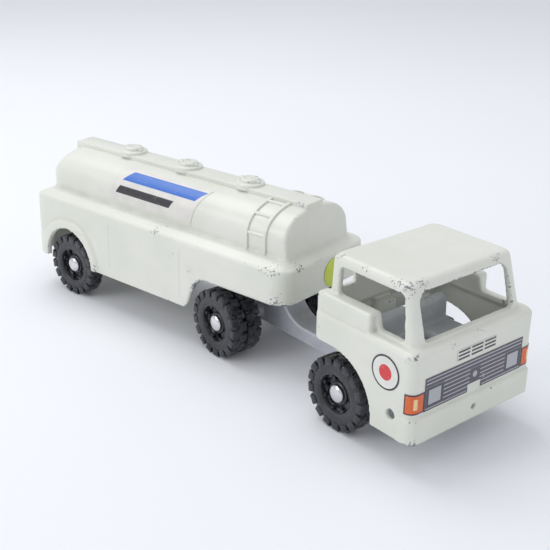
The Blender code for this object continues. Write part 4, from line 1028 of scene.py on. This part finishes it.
chassis = {
    "beamHalf": 9.5, "bottom": 17.0, "top": 28.0, "front": 185.0, "wall": 3.0, "pedestal": (-19.0, 22.5),
    "table": 26.0,
    "tableTop": 51.0, "tableThick": 4.0, "riserEnd": 47.0, "riserTop": 48.0, "floorRear": 108.5, "floorHalf": 36.0,
    "floor": (26.5, 31.0), "driveReach": 26.9, "frontReach": 39.9, "housing": 5.8, "voxel": 0.8,
}


def makeChassisCasting():
    half, low, top, wall = chassis["beamHalf"], chassis["bottom"], chassis["top"], chassis["wall"]
    rear, front = chassis["pedestal"]
    inner = half - wall
    tableTop = chassis["tableTop"]
    tableLow = tableTop - chassis["tableThick"]
    form = block((front - 1.0, chassis["front"]), (-half, half), (low, top))
    add(form, block((rear, front), (-half, half), (low, tableLow + 2.0)))
    endX, endZ = chassis["riserEnd"], chassis["riserTop"]
    curve = [(endX - (endX - front) * sin(pi / 2 * step / 16), endZ - (endZ - top) * cos(pi / 2 * step / 16))
             for step in range(17)]
    add(form, sidePrism([(front - 2.0, top - 1.0), (endX, top - 1.0)] + curve + [(front - 2.0, endZ)], -half, half))
    edge = chassis["table"]
    add(form, turnedForm([(0.0, tableLow), (edge - 0.6, tableLow), (edge, tableLow + 0.6), (edge, tableTop - 0.6),
                          (edge - 0.6, tableTop), (0.0, tableTop)], 96))
    add(form, block((chassis["floorRear"], chassis["front"]), (-chassis["floorHalf"], chassis["floorHalf"]),
                    chassis["floor"]))
    cut(form, block((front, chassis["front"] - wall), (-inner, inner), (0.0, top - wall)))
    cut(form, block((rear + wall, front + 1.0), (-inner, inner), (0.0, tableLow)))
    add(form, block((front - wall, front), (-half, half), (top - wall, tableLow + 2.0)))
    for x, reach in ((layout["driveX"], chassis["driveReach"]), (layout["frontX"], chassis["frontReach"])):
        add(form, moved(rod(chassis["housing"], -reach, reach), (x, 0.0, layout["axleZ"]), "Y"))
        cut(form, moved(rod(layout["axleBore"], -80.0, 80.0), (x, 0.0, layout["axleZ"]), "Y"))
    cut(form, rod(layout["pinBore"], 46.0, 52.0))
    for x, y, z in cab["bosses"]:
        cut(form, moved(rod(layout["screwBore"], 0.0, 32.0), (x, y, 0.0)))
    castSkin(form, chassis["voxel"], 2)
    return markEdges(form, 1, 3.0)


finishPiece(makeChassisCasting(), "chassisCasting", makeFinish("chassisCasting"), *onTractor, "bare_casting",
            ["chassis"], 80.0)
for node in ("kingpin_washer", "kingpin_screw", "trailer_axle", "front_axle", "drive_axle", "cab_screw_rear",
             "cab_screw_right", "cab_screw_left"):
    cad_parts[node].material_slots[0].material = steel
print("tractor: seats and chassis made")


# stickers: thin sheets with their own flat coordinates in millimetres, drawn by nodes

stickerLook = {
    "lift": 0.16, "thick": 0.12, "film": (0.73, 0.71, 0.67), "ink": (0.035, 0.033, 0.04), "tankRear": 76.0,
    "tankLength": 88.0, "tankLow": 3.0, "tankHigh": 33.5, "tankLean": 0.31, "doorX": 169.2, "doorZ": 61.5,
    "doorRadius": 11.0, "lampReach": 10.5, "lampLow": 41.5, "lampHigh": 54.5, "grilleHalf": 43.6, "notchHalf": 6.0,
    "grilleLow": 41.0, "notchTop": 46.0, "grilleTop": 62.5, "ventHalf": 17.5, "ventLow": 65.0, "ventHigh": 72.0,
    "noseRadius": 10.4, "noseY": 6.0, "noseZ": 65.5, "noseColour": (0.62, 0.74, 0.035),
}


def addCell(bm, flat, corners, spots):
    face = bm.faces.new(corners)
    for loop, spot in zip(face.loops, spots):
        loop[flat].uv = spot


def makeSheet(spotAt, us, vs, inside=None):
    bm = bmesh.new()
    flat = bm.loops.layers.uv.new("flat")
    grid = [[bm.verts.new(spotAt(u, v)) for u in us] for v in vs]
    for j in range(len(vs) - 1):
        for i in range(len(us) - 1):
            if inside and not inside((us[i] + us[i + 1]) / 2, (vs[j] + vs[j + 1]) / 2):
                continue
            around = ((i, j), (i + 1, j), (i + 1, j + 1), (i, j + 1))
            addCell(bm, flat, [grid[b][a] for a, b in around], [(us[a], vs[b]) for a, b in around])
    bmesh.ops.delete(bm, geom=[vertex for vertex in bm.verts if not vertex.link_faces], context="VERTS")
    return meshFrom(bm, "sheet")


def thicken(piece, outward):  # faces are turned to look outwards before the sheet gets its thickness
    mesh = piece.data
    if sum(face.normal.dot(outward(face.center)) for face in mesh.polygons) < 0:
        mesh.flip_normals()
    modifier = piece.modifiers.new("film", "SOLIDIFY")
    modifier.thickness = stickerLook["thick"]
    modifier.offset = 1.0
    return bake(piece)


def spaced(low, high, count):
    return [low + (high - low) * step / count for step in range(count + 1)]


def disc(radius, spotAt, sides=48, rings=6):
    bm = bmesh.new()
    flat = bm.loops.layers.uv.new("flat")
    middle = bm.verts.new(spotAt(0.0, 0.0))
    spots = []
    for ring in range(1, rings + 1):
        reach = radius * ring / rings
        spots.append([(reach * cos(2 * pi * i / sides), reach * sin(2 * pi * i / sides)) for i in range(sides)])
    rows = [[bm.verts.new(spotAt(u, v)) for u, v in row] for row in spots]
    for i in range(sides):
        j = (i + 1) % sides
        addCell(bm, flat, (middle, rows[0][i], rows[0][j]), ((0.0, 0.0), spots[0][i], spots[0][j]))
        for ring in range(rings - 1):
            around = ((ring, i), (ring + 1, i), (ring + 1, j), (ring, j))
            addCell(bm, flat, [rows[a][b] for a, b in around], [spots[a][b] for a, b in around])
    return meshFrom(bm, "disc")


def within(tree, value, low, high, soft=0.12):
    return times(tree, fade(tree, value, low - soft, low + soft), fade(tree, value, high + soft, high - soft))


def box2(tree, u, v, left, right, low, high):
    return times(tree, within(tree, u, left, right), within(tree, v, low, high))


def makePrint(name, base, draw=None):  # draw says what is printed on the base colour, and how much of it shines
    material, tree, shader = newMaterial(name, Specular_IOR_Level=0.5)
    axes = put(tree, "ShaderNodeSeparateXYZ", {"Vector": put(tree, "ShaderNodeUVMap", uv_map="flat").outputs["UV"]})
    grain = placeGroup(tree, grainGroup, Fine=900.0, Broad=90.0)
    colour = blendColours(tree, grain.outputs["Tone"], base, tuple(part * 0.9 for part in base))
    if draw:
        colour, shine = draw(tree, axes.outputs["X"], axes.outputs["Y"], colour)
        feed(tree, shader.inputs["Metallic"], shine)
    scuffs = placeGroup(tree, chipGroup, Knock=0.35, Grain=420.0)
    colour = blendColours(tree, times(tree, scuffs.outputs["Scrape"], 0.5), colour, (0.62, 0.62, 0.58))
    feed(tree, shader.inputs["Base Color"], colour)
    feed(tree, shader.inputs["Roughness"], fade(tree, scuffs.outputs["Scrape"], 0.0, 1.0, 0.3, 0.55))
    addBump(tree, shader, grain.outputs["Height"], 0.25, 0.0002)
    return material


def drawTank(tree, u, v, colour):  # a plain blue bar over a plain dark one, on a clear film
    lean = minus(tree, u, times(tree, v, 0.36))
    colour = blendColours(tree, box2(tree, lean, v, -1.0, 76.0, 20.5, 30.0), colour, (0.045, 0.16, 0.56))
    colour = blendColours(tree, box2(tree, lean, v, 2.0, 60.0, 10.0, 16.0), colour, stickerLook["ink"])
    return colour, 0.0


def drawRoundel(tree, u, v, colour):
    gap = sums(tree, "SQRT", plus(tree, times(tree, u, u), times(tree, v, v)))
    colour = blendColours(tree, within(tree, gap, 9.9, 11.5), colour, stickerLook["ink"])
    colour = blendColours(tree, within(tree, gap, -1.0, 5.0), colour, (0.62, 0.045, 0.05))
    return colour, 0.0


def drawGrille(tree, u, v, colour):
    side = sums(tree, "ABSOLUTE", u)
    height = sums(tree, "DIVIDE", minus(tree, v, 41.0), 2.7)
    slat = within(tree, sums(tree, "FRACT", height), 0.36, 0.62, 0.06)
    bars = times(tree, slat, box2(tree, side, v, 4.6, 27.5, 43.0, 60.5))
    trim = larger(tree, box2(tree, side, v, -1.0, 42.6, 60.6, 61.3), box2(tree, side, v, 7.0, 42.6, 42.0, 42.6))
    trim = larger(tree, trim, times(tree, slat, box2(tree, side, v, -1.0, 42.6, 56.0, 60.5)))
    lines = larger(tree, bars, trim)
    lamp = box2(tree, side, v, 29.8, 40.2, 44.6, 54.2)
    dot = sums(tree, "SQRT", plus(tree, times(tree, u, u), sums(tree, "POWER", minus(tree, v, 51.5), 2.0)))
    dot = within(tree, dot, -1.0, 2.0)
    silver = larger(tree, larger(tree, lines, lamp), dot)
    rim = minus(tree, box2(tree, side, v, 28.9, 41.1, 43.7, 55.1), lamp)
    colour = blendColours(tree, lines, colour, (0.44, 0.44, 0.48))
    colour = blendColours(tree, rim, colour, (0.05, 0.048, 0.062))
    colour = blendColours(tree, larger(tree, lamp, dot), colour, (0.42, 0.43, 0.46))
    return colour, times(tree, silver, 0.35)


def drawVent(tree, u, v, colour):
    column = within(tree, sums(tree, "FRACT", sums(tree, "DIVIDE", plus(tree, u, 17.4), 11.6)), 0.06, 0.94, 0.02)
    row = within(tree, sums(tree, "FRACT", sums(tree, "DIVIDE", minus(tree, v, 64.9), 2.4)), 0.2, 0.72, 0.06)
    colour = blendColours(tree, times(tree, column, row), colour, stickerLook["ink"])
    return colour, 0.0


def drawLamp(tree, u, v, colour):
    inner = box2(tree, u, v, 0.9, lampLength - 0.9, 42.4, 53.6)
    pale = box2(tree, u, v, lampLength * 0.42, lampLength * 0.60, 44.6, 51.6)
    colour = blendColours(tree, minus(tree, 1.0, inner), colour, (0.06, 0.03, 0.05))
    return blendColours(tree, pale, colour, (0.80, 0.62, 0.30)), 0.0


def tankStickerSpot(side):
    line = [(-tank["half"], trailer["skirtTop"] + trailer["rise"] + 2.0)] + tankSection(0.0, 40)
    lengths = [0.0]
    for before, after in zip(line, line[1:]):
        lengths.append(lengths[-1] + sqrt((after[0] - before[0]) ** 2 + (after[1] - before[1]) ** 2))

    def spotAt(u, v):
        index = max(i for i, reach in enumerate(lengths[:-1]) if reach <= v)
        share = (v - lengths[index]) / (lengths[index + 1] - lengths[index])
        here = Vector(line[index]).lerp(Vector(line[index + 1]), share)
        along = (Vector(line[index + 1]) - Vector(line[index])).normalized()
        lifted = here + Vector((-along.y, along.x)) * stickerLook["lift"]
        return (stickerLook["tankRear"] + u + v * stickerLook["tankLean"], side * -lifted.x, lifted.y)
    return spotAt


def placeSticker(piece, name, material, place, body, slot, node, outward):
    return finishPiece(thicken(piece, outward), name, material, place, body, slot, [node], 60.0)


def upright(u, v):
    return (cab["front"] + stickerLook["lift"], u, v)


def forward(spot):
    return Vector((1.0, 0.0, 0.0))


def onGrille(u, v):
    return abs(u) > stickerLook["notchHalf"] or v > stickerLook["notchTop"]


bend = cab["round"] + stickerLook["lift"]
lampLength = bend * pi / 2 + stickerLook["lampReach"] - cab["round"]
tankPrint = makePrint("tankStickerPrint", stickerLook["film"], drawTank)
roundelPrint = makePrint("roundelPrint", (0.76, 0.76, 0.72), drawRoundel)
lampPrint = makePrint("lampPrint", (0.72, 0.135, 0.035), drawLamp)
for side, word in ((-1, "right"), (1, "left")):
    rows = spaced(stickerLook["tankLow"], stickerLook["tankHigh"], 30)
    sheet = makeSheet(tankStickerSpot(side), spaced(0.0, stickerLook["tankLength"], 40), rows)
    placeSticker(sheet, "tankSticker_" + word, tankPrint, *onTrailer, "white_sticker", "tank_sticker_" + word,
                 lambda spot: Vector((0.0, spot.y, 40.0)))

    def doorSpot(u, v):
        return (stickerLook["doorX"] - side * u, side * (cab["half"] + stickerLook["lift"]), stickerLook["doorZ"] + v)
    door = disc(stickerLook["doorRadius"], doorSpot)
    placeSticker(door, "doorSticker_" + word, roundelPrint, *onTractor, "white_sticker", "door_sticker_" + word,
                 lambda spot: Vector((0.0, spot.y, 0.0)))

    def lampSpot(u, v):
        turn = min(u / bend, pi / 2)
        x = cab["front"] - cab["round"] + bend * sin(turn)
        y = cab["half"] - cab["round"] + bend * cos(turn) - max(u - bend * pi / 2, 0.0)
        return (x, side * y, v)
    rows = spaced(stickerLook["lampLow"], stickerLook["lampHigh"], 8)
    lamp = makeSheet(lampSpot, spaced(0.0, lampLength, 20), rows)
    placeSticker(lamp, "lampSticker_" + word, lampPrint, *onTractor, "orange_sticker", "lamp_sticker_" + word,
                 lambda spot: Vector((1.0, side * 0.8, 0.0)))

wide, notch = stickerLook["grilleHalf"], stickerLook["notchHalf"]
notchTop = stickerLook["notchTop"]
rows = [stickerLook["grilleLow"], notchTop] + spaced(notchTop + 0.5, stickerLook["grilleTop"], 5)
grille = makeSheet(upright, spaced(-wide, -notch, 10) + spaced(notch, wide, 10), rows, onGrille)
grillePrint = makePrint("grillePrint", (0.085, 0.078, 0.105), drawGrille)
placeSticker(grille, "grilleSticker", grillePrint, *onTractor, "dark_sticker", "grille_sticker", forward)
wide, rows = stickerLook["ventHalf"], spaced(stickerLook["ventLow"], stickerLook["ventHigh"], 4)
vent = makeSheet(upright, spaced(-wide, wide, 8), rows)
ventPrint = makePrint("ventPrint", stickerLook["film"], drawVent)
placeSticker(vent, "ventSticker", ventPrint, *onTractor, "white_sticker", "vent_sticker", forward)


def noseSpot(u, v):  # laid on the nose, which leans with the draft of the skirt
    tilt = trailer["draft"] / (trailer["skirtTop"] - 17.0)
    x = trailer["length"] + tilt * (trailer["skirtTop"] - stickerLook["noseZ"] - v) + 0.25
    return (x, stickerLook["noseY"] + u, stickerLook["noseZ"] + v)


nosePrint = makePrint("nosePrint", stickerLook["noseColour"])
nose = disc(stickerLook["noseRadius"], noseSpot)
placeSticker(nose, "noseSticker", nosePrint, *onTrailer, "yellow_sticker", "nose_sticker", forward)
print("stickers: printed and placed")


# floor, light and camera

aim = (-0.1, 0.0, 0.05)
studio = {
    "floor": (0.86, 0.87, 0.90), "world": (0.94, 0.96, 1.0), "worldStrength": 0.73, "sensor": 36.0, "lens": 64.5,
    "cameraSpot": (0.42808, -0.50701, 0.33477), "across": (0.76306, 0.64626, 0.00947),
    "ahead": (-0.59135, 0.70400, -0.39330),
    "lights": (  # name, spot, aim, size and power of each
        ("overhead", (-0.75, 0.10, 1.5), aim, 1.3, 9.5), ("sideFill", (-0.75, -1.45, 0.95), aim, 1.1, 8.0),
        ("frontFill", (1.45, 0.15, 0.75), (0.1, 0.0, 0.05), 0.9, 1.3)),
}


def makeFloor():
    bm = bmesh.new()
    bmesh.ops.create_grid(bm, x_segments=2, y_segments=2, size=6.0)
    floor = objectFrom(bm, "studioFloor")
    material, tree, shader = newMaterial("floorPaper", Roughness=0.75, Specular_IOR_Level=0.25)
    where = objectSpot(tree)
    tone = fade(tree, cloud(tree, where, 2.2, 2.0), 0.3, 0.7)
    feed(tree, shader.inputs["Base Color"], blendColours(tree, tone, studio["floor"],
                                                         tuple(part * 0.985 for part in studio["floor"])))
    floor.data.materials.append(material)


def makeLight(name, spot, aim, size, power):
    data = bpy.data.lights.new(name, "AREA")
    data.shape = "DISK"
    data.size = size
    data.energy = power
    lamp = linked(name, data)
    lamp.location = spot
    lamp.rotation_euler = (Vector(aim) - Vector(spot)).to_track_quat("-Z", "Y").to_euler()


def makeWorld():
    world = bpy.data.worlds.new("studioAir")
    world.use_nodes = True
    back = world.node_tree.nodes["Background"]
    back.inputs["Color"].default_value = (*studio["world"], 1.0)
    back.inputs["Strength"].default_value = studio["worldStrength"]
    bpy.context.scene.world = world


def makeCamera():
    across = Vector(studio["across"]).normalized()
    ahead = Vector(studio["ahead"]).normalized()
    up = across.cross(ahead).normalized()
    data = bpy.data.cameras.new("viewer")
    data.sensor_width = studio["sensor"]
    data.lens = studio["lens"]
    data.clip_start = 0.01
    data.clip_end = 50.0
    camera = linked("viewer", data)
    spot = Vector((kingpin.x, kingpin.y, 0.0)) + Vector(studio["cameraSpot"])
    turn = Matrix((across, up, -ahead)).transposed().to_4x4()
    camera.matrix_world = Matrix.Translation(spot) @ turn
    bpy.context.scene.camera = camera


makeFloor()
makeWorld()
for light in studio["lights"]:
    makeLight(*light)
makeCamera()
bpy.context.scene.view_settings.view_transform = "Standard"
print("studio: floor, lights and camera set")
